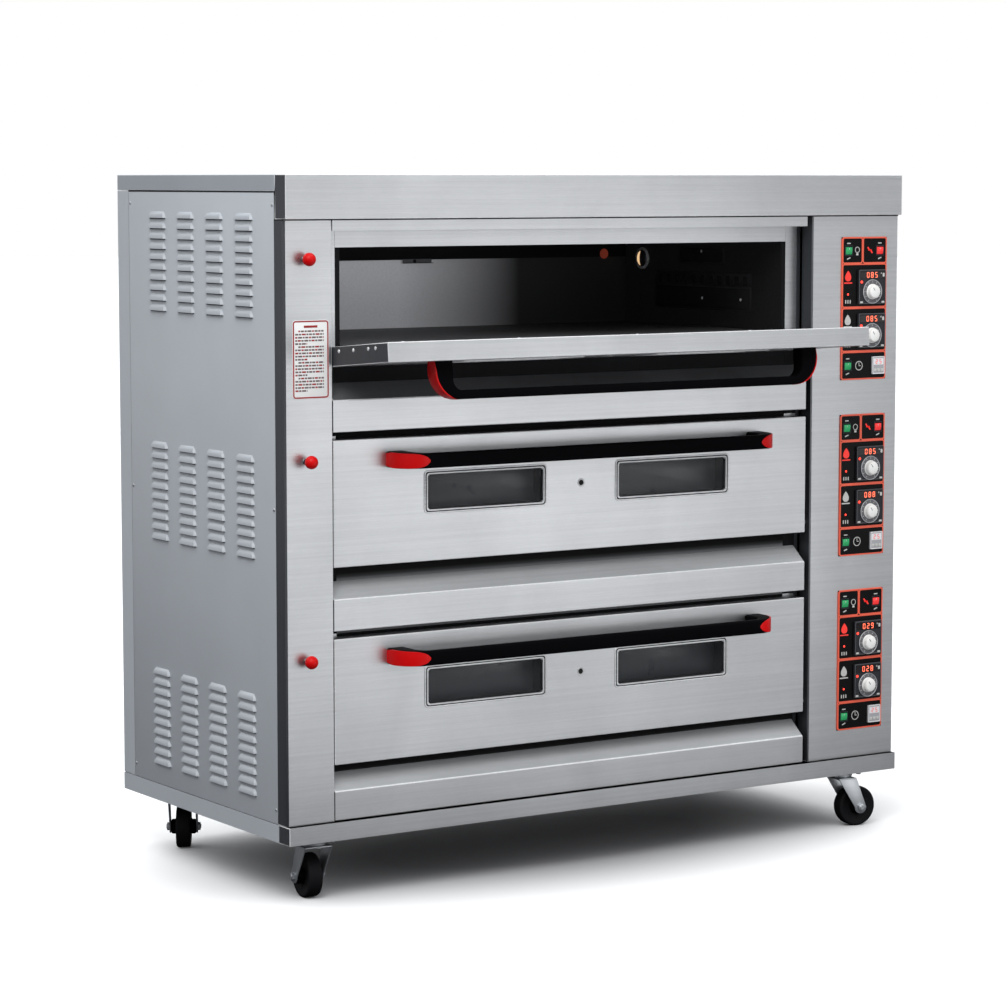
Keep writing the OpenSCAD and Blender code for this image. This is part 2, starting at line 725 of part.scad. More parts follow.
front_left_wheel();
front_right_wheel();
rear_left_wheel();
rear_right_wheel();
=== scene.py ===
"""Three-deck gas bakery oven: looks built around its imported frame.

Sizes are in millimetres, counted from the cabinet's front left bottom corner:
x to the right, y backwards from the header's front face, z up from the base's bottom edge.
"""
import json
import math

import bmesh
import bpy
from mathutils import Matrix, Vector


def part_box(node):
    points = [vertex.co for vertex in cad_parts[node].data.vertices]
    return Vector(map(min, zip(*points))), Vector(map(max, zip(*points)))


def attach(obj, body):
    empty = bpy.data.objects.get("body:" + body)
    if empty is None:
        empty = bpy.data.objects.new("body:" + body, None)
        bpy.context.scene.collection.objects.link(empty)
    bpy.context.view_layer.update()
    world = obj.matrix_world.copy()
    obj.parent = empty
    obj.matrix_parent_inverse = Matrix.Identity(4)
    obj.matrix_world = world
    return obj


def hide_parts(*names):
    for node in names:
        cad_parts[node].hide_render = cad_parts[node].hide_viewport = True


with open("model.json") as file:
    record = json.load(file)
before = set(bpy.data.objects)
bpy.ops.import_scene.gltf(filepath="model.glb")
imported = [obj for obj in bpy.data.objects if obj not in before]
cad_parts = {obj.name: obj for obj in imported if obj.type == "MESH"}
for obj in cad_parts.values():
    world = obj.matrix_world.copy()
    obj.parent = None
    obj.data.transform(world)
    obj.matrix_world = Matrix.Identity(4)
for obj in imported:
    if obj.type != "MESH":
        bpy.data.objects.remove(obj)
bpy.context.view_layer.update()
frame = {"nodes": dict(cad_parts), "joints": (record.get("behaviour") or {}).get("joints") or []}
JOINTS = {j["name"]: j for j in frame["joints"]}
DECKS = ("lower", "middle", "upper")

# ---- places

CORNER = Vector((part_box("base_trim")[0].x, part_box("header_trim")[0].y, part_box("base_trim")[0].z))
IN_CABINET = Matrix.Translation(CORNER)


def turned(degrees, axis):
    return Matrix.Rotation(math.radians(degrees), 4, axis)


SQUARE_ON = turned(90, "X")  # stands a flat shape up, facing the front


def at(x, y, z):
    """A point given in millimetres from the cabinet's corner."""
    return CORNER + mm(x, y, z)


def mm(*values):
    return Vector(values) / 1000


def shift(*values):
    """A move by millimetres."""
    return Matrix.Translation(mm(*values))


def pivot(joint):
    return Vector(JOINTS[joint]["pos_m"])


def move(x, y, z):
    return Matrix.Translation(at(x, y, z))


def node_mm(node):
    """A node's lowest and highest corners, in millimetres from the cabinet's corner."""
    low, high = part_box(node)
    return (low - CORNER) * 1000, (high - CORNER) * 1000


CABINET_W = node_mm("base_trim")[1].x
CABINET_D = node_mm("back_panel")[1].y
COLUMN_Y = node_mm("left_column")[0].y  # front face of both columns


# ---- shapes

def block(low, high, bevel=0.0, segments=2):
    """A box between two corners with every edge rounded, in millimetres."""
    bm = bmesh.new()
    bmesh.ops.create_cube(bm, size=1)
    low, high = Vector(low), Vector(high)
    bmesh.ops.scale(bm, vec=(high - low) / 1000, verts=bm.verts)
    bmesh.ops.translate(bm, vec=(high + low) / 2000, verts=bm.verts)
    round_edges(bm, bm.edges, bevel, segments)
    return bm


def round_edges(bm, edges, bevel, segments=2):
    if bevel > 0:
        bmesh.ops.bevel(bm, geom=list(edges), offset=bevel / 1000, offset_type="OFFSET",
                        segments=segments, profile=0.5, affect="EDGES", clamp_overlap=True, material=-1)


def sheet(w, h, r=0.0, segments=6):
    """A flat rounded rectangle about the origin, facing up."""
    bm = bmesh.new()
    bmesh.ops.create_grid(bm, x_segments=1, y_segments=1, size=0.5)
    bmesh.ops.scale(bm, vec=(w / 1000, h / 1000, 1), verts=bm.verts)
    if r > 0:
        bmesh.ops.bevel(bm, geom=list(bm.verts), offset=r / 1000, offset_type="OFFSET",
                        segments=segments, profile=0.5, affect="VERTICES", clamp_overlap=True, material=-1)
    return bm


def thicken(bm, t):
    """Pulls a flat shape up by t and closes it underneath."""
    made = bmesh.ops.extrude_face_region(bm, geom=list(bm.faces), use_keep_orig=True)["geom"]
    raised = [v for v in made if isinstance(v, bmesh.types.BMVert)]
    bmesh.ops.translate(bm, vec=(0, 0, t / 1000), verts=raised)
    bmesh.ops.recalc_face_normals(bm, faces=bm.faces)
    return bm


def round_rim(bm, t, bevel, least=-1.0):
    """Rounds off the upper rim of a shape t thick, where it turns by more than least radians."""
    rim = [e for e in bm.edges if all(v.co.z > t / 1000 - 1e-7 for v in e.verts)]
    round_edges(bm, [e for e in rim if e.calc_face_angle(0) > least], bevel)


def cut(bm, place, normal, dist=1e-6, **sides):
    bmesh.ops.bisect_plane(bm, geom=[*bm.verts, *bm.edges, *bm.faces], dist=dist,
                           plane_co=place, plane_no=normal, **sides)


def slab(w, h, t, r=0.0, bevel=0.0, segments=6):
    """A rounded rectangle t thick, its upper rim rounded off."""
    bm = thicken(sheet(w, h, r, segments), t)
    round_rim(bm, t, bevel)
    return bm


def ring(w, h, border, t, r=0.0, bevel=0.0, segments=6):
    """A rounded rectangular frame, border wide and t thick."""
    bm = sheet(w, h, r, segments)
    bmesh.ops.inset_region(bm, faces=list(bm.faces), thickness=border / 1000, use_even_offset=True,
                           use_boundary=True)
    middle = max(bm.faces, key=lambda f: len(f.verts))
    bmesh.ops.delete(bm, geom=[middle], context="FACES")
    thicken(bm, t)
    round_rim(bm, t, bevel, 0.5)
    return bm


def disc(r, t, bevel=0.0, sides=40):
    """A round plate t thick, its upper rim rounded off."""
    bm = bmesh.new()
    bmesh.ops.create_circle(bm, cap_ends=True, segments=sides, radius=r / 1000)
    thicken(bm, t)
    round_rim(bm, t, bevel)
    return bm


def lathe(profile, sides=40):
    """Turns (radius, height) points about the upright axis. Points at radius 0 close the ends."""
    bm = bmesh.new()
    points = [bm.verts.new(mm(r, 0, z)) for r, z in profile]
    for a, b in zip(points, points[1:]):
        bm.edges.new((a, b))
    bmesh.ops.spin(bm, geom=list(bm.verts) + list(bm.edges), cent=(0, 0, 0), axis=(0, 0, 1),
                   angle=math.tau, steps=sides, use_merge=True)
    bmesh.ops.remove_doubles(bm, verts=bm.verts, dist=1e-6)
    bmesh.ops.recalc_face_normals(bm, faces=bm.faces)
    return bm


def arc(centre, radius, start, end, steps):
    """(radius, height) points of an arc for a lathe's profile, angles in degrees."""
    turn = [math.radians(start + (end - start) * n / steps) for n in range(steps + 1)]
    return [(centre[0] + radius * math.cos(a), centre[1] + radius * math.sin(a)) for a in turn]


def facing(direction, place):
    """Points a shape's upright axis along direction, at a place."""
    return Matrix.Translation(place) @ Vector(direction).to_track_quat("Z", "Y").to_matrix().to_4x4()


def loft(sections):
    """Joins closed outlines of equal point counts, given as (bmesh, matrix), and caps both ends."""
    bm = bmesh.new()
    loops = []
    for outline, matrix in sections:
        bmesh.ops.transform(outline, matrix=matrix, verts=outline.verts)
        corners = [bm.verts.new(v.co) for v in outline.faces[:][0].verts]
        loops.append([bm.edges.new((a, b)) for a, b in zip(corners, corners[1:] + corners[:1])])
        outline.free()
    for a, b in zip(loops, loops[1:]):
        bmesh.ops.bridge_loops(bm, edges=a + b)
    bmesh.ops.contextual_create(bm, geom=loops[0])
    bmesh.ops.contextual_create(bm, geom=loops[-1])
    bmesh.ops.recalc_face_normals(bm, faces=bm.faces)
    return bm


class Piece:
    """One object of the model, gathered from shapes that may differ in material."""

    def __init__(self, name, body, slot):
        self.name, self.body, self.slot = name, body, slot
        self.bm, self.materials = bmesh.new(), []

    def add(self, shape, material, *matrices):
        """Adds a shape once for each matrix. A tuple of materials goes by the shape's own face numbers."""
        finishes = material if isinstance(material, tuple) else (material,)
        self.materials += [m for m in finishes if m not in self.materials]
        numbers = [self.materials.index(m) for m in finishes]
        for matrix in matrices or (Matrix.Identity(4),):
            mesh = bpy.data.meshes.new("shape")
            shape.to_mesh(mesh)
            mesh.transform(matrix)
            if matrix.is_negative:
                mesh.flip_normals()
            for face in mesh.polygons:
                face.material_index = numbers[min(face.material_index, len(numbers) - 1)]
            self.bm.from_mesh(mesh)
            bpy.data.meshes.remove(mesh)
        shape.free()

    def strip(self, low, high, material, bevel=0.0):
        """Adds a box between two corners counted from the cabinet's own corner."""
        self.add(block(low, high, bevel), material, IN_CABINET)

    def done(self, *replaced, sharp=35):
        mesh = bpy.data.meshes.new(self.name)
        self.bm.to_mesh(mesh)
        self.bm.free()
        for material in self.materials:
            mesh.materials.append(material)
        mesh.shade_smooth()
        mesh.set_sharp_from_angle(angle=math.radians(sharp))
        piece = bpy.data.objects.new(self.name, mesh)
        bpy.context.scene.collection.objects.link(piece)
        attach(piece, self.body)
        if replaced:
            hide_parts(*replaced)
        return piece


def folded(node, fold=1.8):
    """A copy of a sheet-metal node with its outer folds rounded, as a press brake leaves them.

    The folds' own faces get material 1, a lighter finish as painted highlight, and faces that look left get
    material 2, painted shade on stainless.
    """
    bm = bmesh.new()
    bm.from_mesh(frame["nodes"][node].data)
    bmesh.ops.remove_doubles(bm, verts=bm.verts, dist=1e-5)
    bmesh.ops.dissolve_limit(bm, angle_limit=math.radians(1), verts=bm.verts, edges=bm.edges)
    wide = 0.004

    def is_fold(edge):
        if not edge.is_manifold or edge.calc_face_angle(0) < math.radians(25) or not edge.is_convex:
            return False
        length = edge.calc_length()
        return length > 0.02 and all(f.calc_area() / length > wide for f in edge.link_faces)

    for face in bm.faces:
        face.material_index = 2 if face.normal.x < -0.9 else 0
    bmesh.ops.bevel(bm, geom=[e for e in bm.edges if is_fold(e)], offset=fold / 1000, offset_type="OFFSET",
                    segments=3, profile=0.5, affect="EDGES", clamp_overlap=False, material=1)
    return bm


# ---- finishes

def material(name, colour, roughness, metallic=0.0, **sockets):
    """A Principled material. Further sockets are given by name, with _ for a space."""
    made = bpy.data.materials.new(name)
    made.use_nodes = True
    shader = made.node_tree.nodes["Principled BSDF"]
    shader.inputs["Base Color"].default_value = (*colour, 1)
    shader.inputs["Roughness"].default_value = roughness
    shader.inputs["Metallic"].default_value = metallic
    for socket, value in sockets.items():
        shader.inputs[socket.replace("_", " ")].default_value = value
    return made


def put(made, kind, **sockets):
    """Adds a shader node. Sockets are named with _ for a space, and take a value or another socket."""
    node = made.node_tree.nodes.new("ShaderNode" + kind)
    for name, value in sockets.items():
        socket = node.inputs[name.replace("_", " ")]
        if isinstance(value, bpy.types.NodeSocket):
            made.node_tree.links.new(value, socket)
        else:
            socket.default_value = value
    return node


def object_place(made):
    """The place on a piece, in metres."""
    return put(made, "TexCoord").outputs["Object"]


def object_axis(made, axis):
    return put(made, "SeparateXYZ", Vector=object_place(made)).outputs[axis]


def noise(made, scale, detail=4.0, rough=0.55, distortion=0.0):
    """Noise over the piece's own metres: scale is its frequency along x, y and z."""
    stretch = put(made, "Mapping", Vector=object_place(made), Scale=scale)
    grain = put(made, "TexNoise", Vector=stretch.outputs["Vector"], Scale=1, Detail=detail, Roughness=rough,
                Distortion=distortion)
    return grain.outputs["Fac"]


def blend_colour(made, factor, low, high, start=0.3, end=0.7):
    """A colour that goes from low to high as the factor goes from start to end."""
    ramp = put(made, "ValToRGB", Fac=factor)
    stops = ramp.color_ramp.elements
    stops[0].position, stops[0].color = start, (*low, 1)
    stops[1].position, stops[1].color = end, (*high, 1)
    return ramp.outputs["Color"]


def spread(made, factor, low, high, start=0.25, end=0.75):
    """A number that goes from low to high as the factor goes from start to end."""
    span = put(made, "MapRange", Value=factor, From_Min=start, From_Max=end, To_Min=low, To_Max=high)
    return span.outputs["Result"]


def multiply(made, colour, other):
    mix = put(made, "Mix")
    mix.data_type = "RGBA"
    mix.blend_type = "MULTIPLY"
    mix.inputs["Factor"].default_value = 1
    made.node_tree.links.new(colour, mix.inputs["A"])
    made.node_tree.links.new(other, mix.inputs["B"])
    return mix.outputs["Result"]


def connect(made, socket, value):
    made.node_tree.links.new(value, made.node_tree.nodes["Principled BSDF"].inputs[socket])


def bump(made, height, depth):
    """Bump whose height is depth metres at a factor of 1."""
    connect(made, "Normal", put(made, "Bump", Height=height, Distance=depth, Strength=1).outputs["Normal"])


def tint(colour, share):
    return tuple(c * share for c in colour)


def brushed(name, colour, roughness, along="x", smudge=0.14, metallic=1.0):
    """Brushed stainless sheet: fine long scratches, with faint cleaning smudges between them."""
    made = material(name, colour, roughness, metallic)
    scratches = noise(made, [45 if axis == along else 900 for axis in "xyz"], detail=5, rough=0.75)
    smudges = noise(made, (3.1, 3.1, 2.3), detail=5, distortion=0.6)
    streaks = noise(made, [1.4 if axis == along else 150 for axis in "xyz"], detail=4, rough=0.7)
    fine = multiply(made, blend_colour(made, scratches, tint(colour, 0.93), tint(colour, 1.05)),
                    blend_colour(made, streaks, (0.91,) * 3, (1.03,) * 3))
    cloudy = blend_colour(made, smudges, (1 - smudge,) * 3, (1, 1, 1))
    connect(made, "Base Color", multiply(made, fine, cloudy))
    connect(made, "Roughness", spread(made, scratches, roughness - 0.06, roughness + 0.08))
    bump(made, scratches, 0.000025)
    return made


def painted(name, colour, roughness, grain=900, mottling=0.06, depth=0.00005, **sockets):
    """Stoved or moulded surface: fine orange peel with slow changes of shade."""
    made = material(name, colour, roughness, **sockets)
    peel = noise(made, (grain,) * 3, detail=3)
    shade = noise(made, (4, 4, 4), detail=5, distortion=0.3)
    mottled = blend_colour(made, shade, tint(colour, 1 - mottling), tint(colour, 1 + mottling))
    connect(made, "Base Color", mottled)
    connect(made, "Roughness", spread(made, peel, roughness - 0.05, roughness + 0.07))
    bump(made, peel, depth)
    return made


def glowing(name, colour, strength):
    made = painted(name, colour, 0.4, grain=1500)
    shader = made.node_tree.nodes["Principled BSDF"]
    shader.inputs["Emission Color"].default_value = (*colour, 1)
    shader.inputs["Emission Strength"].default_value = strength
    return made


def painted_light_chamber(name, pale, dark, roughness):
    """Chamber sheet with painted light: pale grey on the left fading to dark on the right, a faint painted
    glow, and fine speckled patches.
    """
    made = material(name, dark, roughness, 0.35)
    across = spread(made, object_axis(made, "X"), 0, 1, at(720, 0, 0).x, at(1080, 0, 0).x)
    # Painted light: pale on the left, fading to dark on the right.
    painted_light_across = blend_colour(made, across, pale, dark, 0.0, 1.0)
    speckle = noise(made, (160, 160, 160), detail=6, distortion=0.5)
    patches = blend_colour(made, speckle, (0.88, 0.87, 0.86), (1, 1, 1))
    mottled = multiply(made, painted_light_across, patches)
    connect(made, "Base Color", mottled)
    # Emission of the same colour: painted light, as the sheet is no lamp.
    connect(made, "Emission Color", mottled)
    made.node_tree.nodes["Principled BSDF"].inputs["Emission Strength"].default_value = 0.15
    connect(made, "Roughness", spread(made, speckle, roughness - 0.1, roughness + 0.15))
    bump(made, speckle, 0.0001)
    return made


def painted_shade_rail():
    """Stainless rail seen under each door, with painted shade: black just under the door, grading to grey at
    the sill below.
    """
    made = brushed("rail in painted shade", (0.60, 0.61, 0.62), 0.6, metallic=0.0)
    made.node_tree.nodes["Principled BSDF"].inputs["Specular IOR Level"].default_value = 0.1
    pitch = JOINTS["upper_door_hinge"]["pos_m"][2] - JOINTS["middle_door_hinge"]["pos_m"][2]
    crease = JOINTS["lower_door_hinge"]["pos_m"][2] - 0.095
    above = put(made, "Math")
    above.operation = "SUBTRACT"
    above.inputs[1].default_value = crease - pitch
    wrapped = put(made, "Math")
    wrapped.operation = "MODULO"
    wrapped.inputs[1].default_value = pitch
    made.node_tree.links.new(object_axis(made, "Z"), above.inputs[0])
    made.node_tree.links.new(above.outputs[0], wrapped.inputs[0])
    ramp = put(made, "ValToRGB", Fac=spread(made, wrapped.outputs[0], 0, 1, 0, pitch))
    stops = ramp.color_ramp.elements
    stops[0].position, stops[0].color = 0.083, (0.32, 0.32, 0.33, 1)
    stops[1].position, stops[1].color = 0.80, (0.40, 0.40, 0.41, 1)
    for share, grey in ((0.100, 0.07), (0.118, 0.003), (0.70, 0.03)):
        stops.new(share).color = (grey, grey, grey, 1)
    base = made.node_tree.nodes["Principled BSDF"].inputs["Base Color"].links[0].from_socket
    connect(made, "Base Color", multiply(made, base, ramp.outputs["Color"]))
    return made


STEEL = brushed("brushed stainless", (0.60, 0.61, 0.625), 0.36)
# Lighter, less metallic steel as a painted highlight: on folds, window beads, rivets, screw heads and lamp
# rims.
STEEL_PAINTED_HIGHLIGHT = brushed("fold steel, painted highlight", (0.72, 0.73, 0.74), 0.25, metallic=0.25)
# Near-black stainless on faces that look left: painted shade.
STEEL_RETURN_PAINTED_SHADE = brushed("stainless return, painted shade", (0.06, 0.064, 0.072), 0.42, along="z", metallic=0.6)
# Dark stainless: the damper rods' own finish, and painted shade on the base trim's left faces and beside the
# right column.
DARK_STEEL_AND_PAINTED_SHADE = brushed("dark stainless, also painted shade", (0.16, 0.165, 0.175), 0.45)
# Plain steel, painted highlight on folds, painted shade on faces that look left.
SHEET = (STEEL, STEEL_PAINTED_HIGHLIGHT, STEEL_RETURN_PAINTED_SHADE)
PAINT = painted("grey blue paint", (0.39, 0.415, 0.445), 0.45, mottling=0.03)
# A little darker than the side paint: painted shade on the louver hoods.
PAINT_HOOD_PAINTED_SHADE = painted("grey blue paint, louver hoods, painted shade", (0.37, 0.395, 0.425), 0.4, mottling=0.03)
# Lighter paint on folds: a painted highlight.
PAINT_FOLD_HIGHLIGHT = painted("grey blue paint, painted highlight on folds", (0.50, 0.53, 0.56), 0.4, mottling=0.03)
# Darker, duller paint on the top cover: painted shade against the light from above.
PAINT_TOP_PAINTED_SHADE = painted("grey blue paint, top, painted shade", (0.30, 0.32, 0.345), 0.75, mottling=0.04,
                    Specular_IOR_Level=0.12)
# Chamber sheet with painted light: pale on the left, dark to the right.
CHAMBER = painted_light_chamber("chamber sheet", (0.62, 0.63, 0.66), (0.010, 0.010, 0.011), 0.5)
CHAMBER_LIT = painted("chamber fittings", (0.016, 0.016, 0.018), 0.45, grain=150, mottling=0.3)
DECK_PLATE = painted("deck plate", (0.05, 0.05, 0.052), 0.55, grain=120, mottling=0.3)
# Near-black sheet in recesses, grooves and under doors: painted shade.
RECESS_PAINTED_SHADE = painted("dark recess sheet, painted shade", (0.010, 0.010, 0.011), 0.6, mottling=0.2, Specular_IOR_Level=0.06)
PIPE = painted("dull pipe", (0.16, 0.15, 0.145), 0.55, grain=200, mottling=0.2, metallic=0.6)
WOOL = painted("mineral wool", (0.16, 0.14, 0.09), 0.95, grain=250, mottling=0.25, depth=0.001)
ZINC = painted("zinc plate", (0.50, 0.52, 0.54), 0.38, grain=90, mottling=0.18, metallic=0.85)
BLACK = painted("black handle plastic", (0.002, 0.002, 0.0025), 0.5, grain=1400, Specular_IOR_Level=0.015)
RUBBER = painted("black rubber", (0.006, 0.006, 0.007), 0.65, grain=500, mottling=0.25,
                 Specular_IOR_Level=0.12)
RED = painted("red plastic", (0.56, 0.002, 0.003), 0.3, grain=1200, Specular_IOR_Level=0.15)
OVERLAY = painted("black overlay", (0.002, 0.002, 0.0025), 0.3, grain=1500, Specular_IOR_Level=0.12)
HOUSING_RIM = painted("controller bezel edge", (0.06, 0.063, 0.07), 0.4, grain=1600)
HOUSING = painted("controller housing", (0.020, 0.021, 0.025), 0.45, grain=1600, Specular_IOR_Level=0.25)
SCREEN = painted("display screen", (0.01, 0.008, 0.009), 0.12, grain=300)
DIAL = painted("white knob plastic", (0.80, 0.80, 0.78), 0.35, grain=1200, mottling=0.03)
SCALE_GREY = painted("grey scale", (0.10, 0.10, 0.11), 0.4, grain=1600)
SCALE = brushed("silver scale ring", (0.62, 0.63, 0.65), 0.3)
GREY_PLASTIC = painted("grey timer plastic", (0.35, 0.35, 0.37), 0.45, grain=1200)
PALE_PLASTIC = painted("pale timer plastic", (0.72, 0.72, 0.74), 0.4, grain=1200)
LINE_RED = painted("red printed line", (0.75, 0.10, 0.05), 0.35, grain=1200)
PRINT = painted("white print", (0.50, 0.50, 0.48), 0.4, grain=1200)
# Red print with a faint glow: painted light, as print gives none.
PRINT_RED_PAINTED_GLOW = glowing("red print", (0.80, 0.03, 0.02), 0.25)
DIGITS = glowing("lit red segments", (1.0, 0.16, 0.08), 1.6)
LED = glowing("lit red lamp", (1.0, 0.05, 0.03), 1.5)
GREEN = glowing("green rocker", (0.02, 0.30, 0.10), 0.25)
RED_KEY = glowing("red rocker", (0.75, 0.03, 0.03), 0.35)
NOTICE = painted("notice plate", (0.80, 0.80, 0.79), 0.45, grain=900, mottling=0.02)
NOTICE_INK = painted("notice ink", (0.13, 0.09, 0.09), 0.6, grain=900)
NOTICE_RED = painted("notice border", (0.30, 0.012, 0.012), 0.5, grain=900)
GLASS = painted("dark inner glass", (0.050, 0.055, 0.065), 0.3, grain=30, mottling=0.12, depth=0.00002)
CLEAR = painted("clear outer glass", (0.03, 0.033, 0.036), 0.06, grain=30, mottling=0.2, depth=0.00001,
                Alpha=0.2)
LAMP_GLASS = painted("lamp glass", (0.03, 0.03, 0.035), 0.15, grain=300, depth=0.0002)
LAMP_LIT = glowing("lit lamp glass", (0.95, 0.62, 0.32), 0.9)
LAMP_GLOW = glowing("lamp glow", (0.22, 0.03, 0.015), 0.35)
CHAMBER_GREY = painted("chamber bracket", (0.10, 0.10, 0.11), 0.5, grain=150, mottling=0.3)
SILL = brushed("bright sill", (0.46, 0.47, 0.48), 0.5, metallic=0.25)
# Darker sill under the upper door: painted shade.
SILL_PAINTED_SHADE = brushed("sill in painted shade", (0.11, 0.112, 0.116), 0.5, smudge=0.4, metallic=0.25)
# Rails under the doors, graded from black to grey: painted shade.
RAIL_PAINTED_SHADE = painted_shade_rail()
# Near black: painted shade in holes, slots and gaps, and in strips where shadows fall.
BLACK_PAINTED_SHADE = painted("open hole, painted shade", (0.004, 0.004, 0.004), 0.9)

CAD_FINISHES = {
    "base_frame": PAINT, "deck_plates": DECK_PLATE, "burners": PIPE,
    "gas_manifold": PIPE, "flue_pipes": ZINC, "insulation": WOOL, "caster_plates": ZINC,
    "lower_chamber": CHAMBER, "middle_chamber": CHAMBER, "upper_chamber": CHAMBER,
    "control_plates": OVERLAY, "temperature_controllers": HOUSING, "timers": GREY_PLASTIC,
}

for name, finish in CAD_FINISHES.items():
    mesh = frame["nodes"][name].data
    mesh.materials.clear()
    mesh.materials.append(finish)

# ---- cabinet

def sheet_metal(node, finishes, slot):
    piece = Piece(node + "_sheet", "oven", slot)
    piece.add(folded(node), finishes)
    piece.done(node, sharp=12)


for node in ("header_trim", "left_column", "right_column"):
    sheet_metal(node, SHEET, "stainless")
# The base trim's left faces take dark stainless: painted shade.
sheet_metal("base_trim", (STEEL, STEEL_PAINTED_HIGHLIGHT, DARK_STEEL_AND_PAINTED_SHADE), "stainless")
sheet_metal("top_cover", (PAINT_TOP_PAINTED_SHADE, PAINT_FOLD_HIGHLIGHT, PAINT_TOP_PAINTED_SHADE), "enamel")
sheet_metal("back_panel", (PAINT, PAINT_FOLD_HIGHLIGHT, PAINT), "enamel")


DOOR_Z = [JOINTS[deck + "_door_hinge"]["pos_m"][2] - 0.023 for deck in DECKS]  # doors' bottom edges


def deck_up(k):
    """Height of a door's bottom edge above the base's, in millimetres."""
    return (DOOR_Z[k] - CORNER.z) * 1000


def fascias():
    """Deck fascias with bright sloping sills. The uppermost sill is painted darker, as painted shade under
    its open door.
    """
    bm = folded("deck_fascias")
    for face in bm.faces:
        if face.material_index == 0 and 0.2 < face.normal.z < 0.95:
            face.material_index = 4 if face.calc_center_median().z > DOOR_Z[2] - 0.1 else 3
    piece = Piece("deck_fascias_sheet", "oven", "stainless")
    piece.add(bm, (*SHEET, SILL, SILL_PAINTED_SHADE))
    piece.done("deck_fascias", sharp=12)


def face_frame():
    """Frame round the chamber mouths: bright jambs and top rail. The rest between the jambs below the top
    rail, and the jambs' bands just under each door, are painted shade: graded rails under the two lower
    doors, near black elsewhere.
    """
    top_rail = at(0, 0, node_mm("upper_chamber")[1].z - 20).z
    bm = folded("face_frame", 1.2)
    for z in DOOR_Z:
        for up in (-0.155, 0.002):
            cut(bm, (0, 0, z + up), (0, 0, 1))
    left, right = at(165, 0, 0).x, at(1415, 0, 0).x
    for face in bm.faces:
        centre = face.calc_center_median()
        shaded = [k for k, z in enumerate(DOOR_Z) if z - 0.155 < centre.z < z + 0.002]
        face.material_index = min(face.material_index, 1)
        if shaded:
            face.material_index = 3 if shaded[0] < 2 and left < centre.x < right else 4
        elif left < centre.x < right and centre.z < top_rail:
            face.material_index = 4
    piece = Piece("face_frame_sheet", "oven", "dark_steel")
    piece.add(bm, (*SHEET, RAIL_PAINTED_SHADE, RECESS_PAINTED_SHADE))
    piece.done("face_frame", sharp=12)


def painted_shade_strips():
    """Painted shade: near-black strips under the header and along the top cover's side edges, dark strips
    down the left column's outer edge and the right column's inner edge, and dark strips that close the frame
    beside the mouths.
    """
    piece = Piece("painted_shade_strips", "oven", "dark_steel")
    header = node_mm("header_trim")[0].z
    cover = node_mm("left_side_panel")[1]
    piece.strip((-0.4, COLUMN_Y - 0.5, header - 3), (CABINET_W + 0.4, COLUMN_Y + 2, header - 0.4), BLACK_PAINTED_SHADE)
    for x in (-0.4, CABINET_W - 1):
        piece.strip((x, COLUMN_Y - 0.5, header - 3), (x + 1.4, 52, header - 0.4), BLACK_PAINTED_SHADE)
    base = node_mm("base_trim")[1].z
    piece.strip((-0.3, COLUMN_Y - 0.5, base + 1), (7, COLUMN_Y + 3, header - 3), STEEL_RETURN_PAINTED_SHADE, 1)
    right = node_mm("right_column")[0].x
    piece.strip((right - 0.3, COLUMN_Y - 0.4, base + 1), (right + 5, COLUMN_Y + 3, header - 3), DARK_STEEL_AND_PAINTED_SHADE, 1)
    for x in (-0.4, CABINET_W - 0.6):
        piece.strip((x, 50, cover.z - 3), (x + 1, cover.y, cover.z + 0.5), BLACK_PAINTED_SHADE)
    mouth_y = node_mm("face_frame")[0].y
    chamber = node_mm("upper_chamber")
    for k in range(3):
        low = deck_up(k) + 4
        for x0, x1 in ((chamber[0].x - 12, chamber[0].x + 1.5), (chamber[1].x - 1.5, chamber[1].x + 11)):
            piece.strip((x0, mouth_y + 0.2, low), (x1, mouth_y + 1.7, low + 280), RECESS_PAINTED_SHADE)
    right = node_mm("right_column")[0].x
    top = header - 20
    piece.strip((right - 11, mouth_y - 0.8, 60), (right - 0.8, mouth_y - 0.1, top), STEEL_RETURN_PAINTED_SHADE)
    piece.done()


painted_shade_strips()
fascias()
face_frame()

LOUVER_W, LOUVER_H, LOUVER_REACH = 85, 15, 6
LOUVER_COLUMNS = [149 + 140.5 * n for n in range(4)]
LOUVER_GROUPS = [90.5 + 539 * n for n in range(3)]
LOUVER_ROWS, LOUVER_PITCH = 10, 24


def louver():
    """One pressed louver on a wall that faces -x: a sloping hood with slanted ends, open underneath."""
    bm = bmesh.new()
    rows = ((1.0, 0.0, 0.13), (0.93, 0.22, 0.12), (0.50, 0.86, 0.085), (0.12, 1.0, 0.055), (0.0, 1.0, 0.05))
    grid = []
    for up, out, inset in rows:
        z, reach = LOUVER_H * up, LOUVER_REACH * out
        wall = LOUVER_W * inset * up
        slant = LOUVER_W * inset + 0.5
        across = ((0, wall), (-reach, slant), (-reach, LOUVER_W - slant), (0, LOUVER_W - wall))
        grid.append([bm.verts.new(mm(x, y, z)) for x, y in across])
    for upper, lower in zip(grid, grid[1:]):
        for n in range(3):
            bm.faces.new((upper[n], lower[n], lower[n + 1], upper[n + 1]))
    bmesh.ops.remove_doubles(bm, verts=bm.verts, dist=2e-5)
    bmesh.ops.recalc_face_normals(bm, faces=bm.faces)
    bmesh.ops.solidify(bm, geom=list(bm.faces), thickness=0.0006)
    bmesh.ops.recalc_face_normals(bm, faces=bm.faces)
    return bm


def louver_places():
    return [(y, z + row * LOUVER_PITCH)
            for y in LOUVER_COLUMNS for z in LOUVER_GROUPS for row in range(LOUVER_ROWS)]


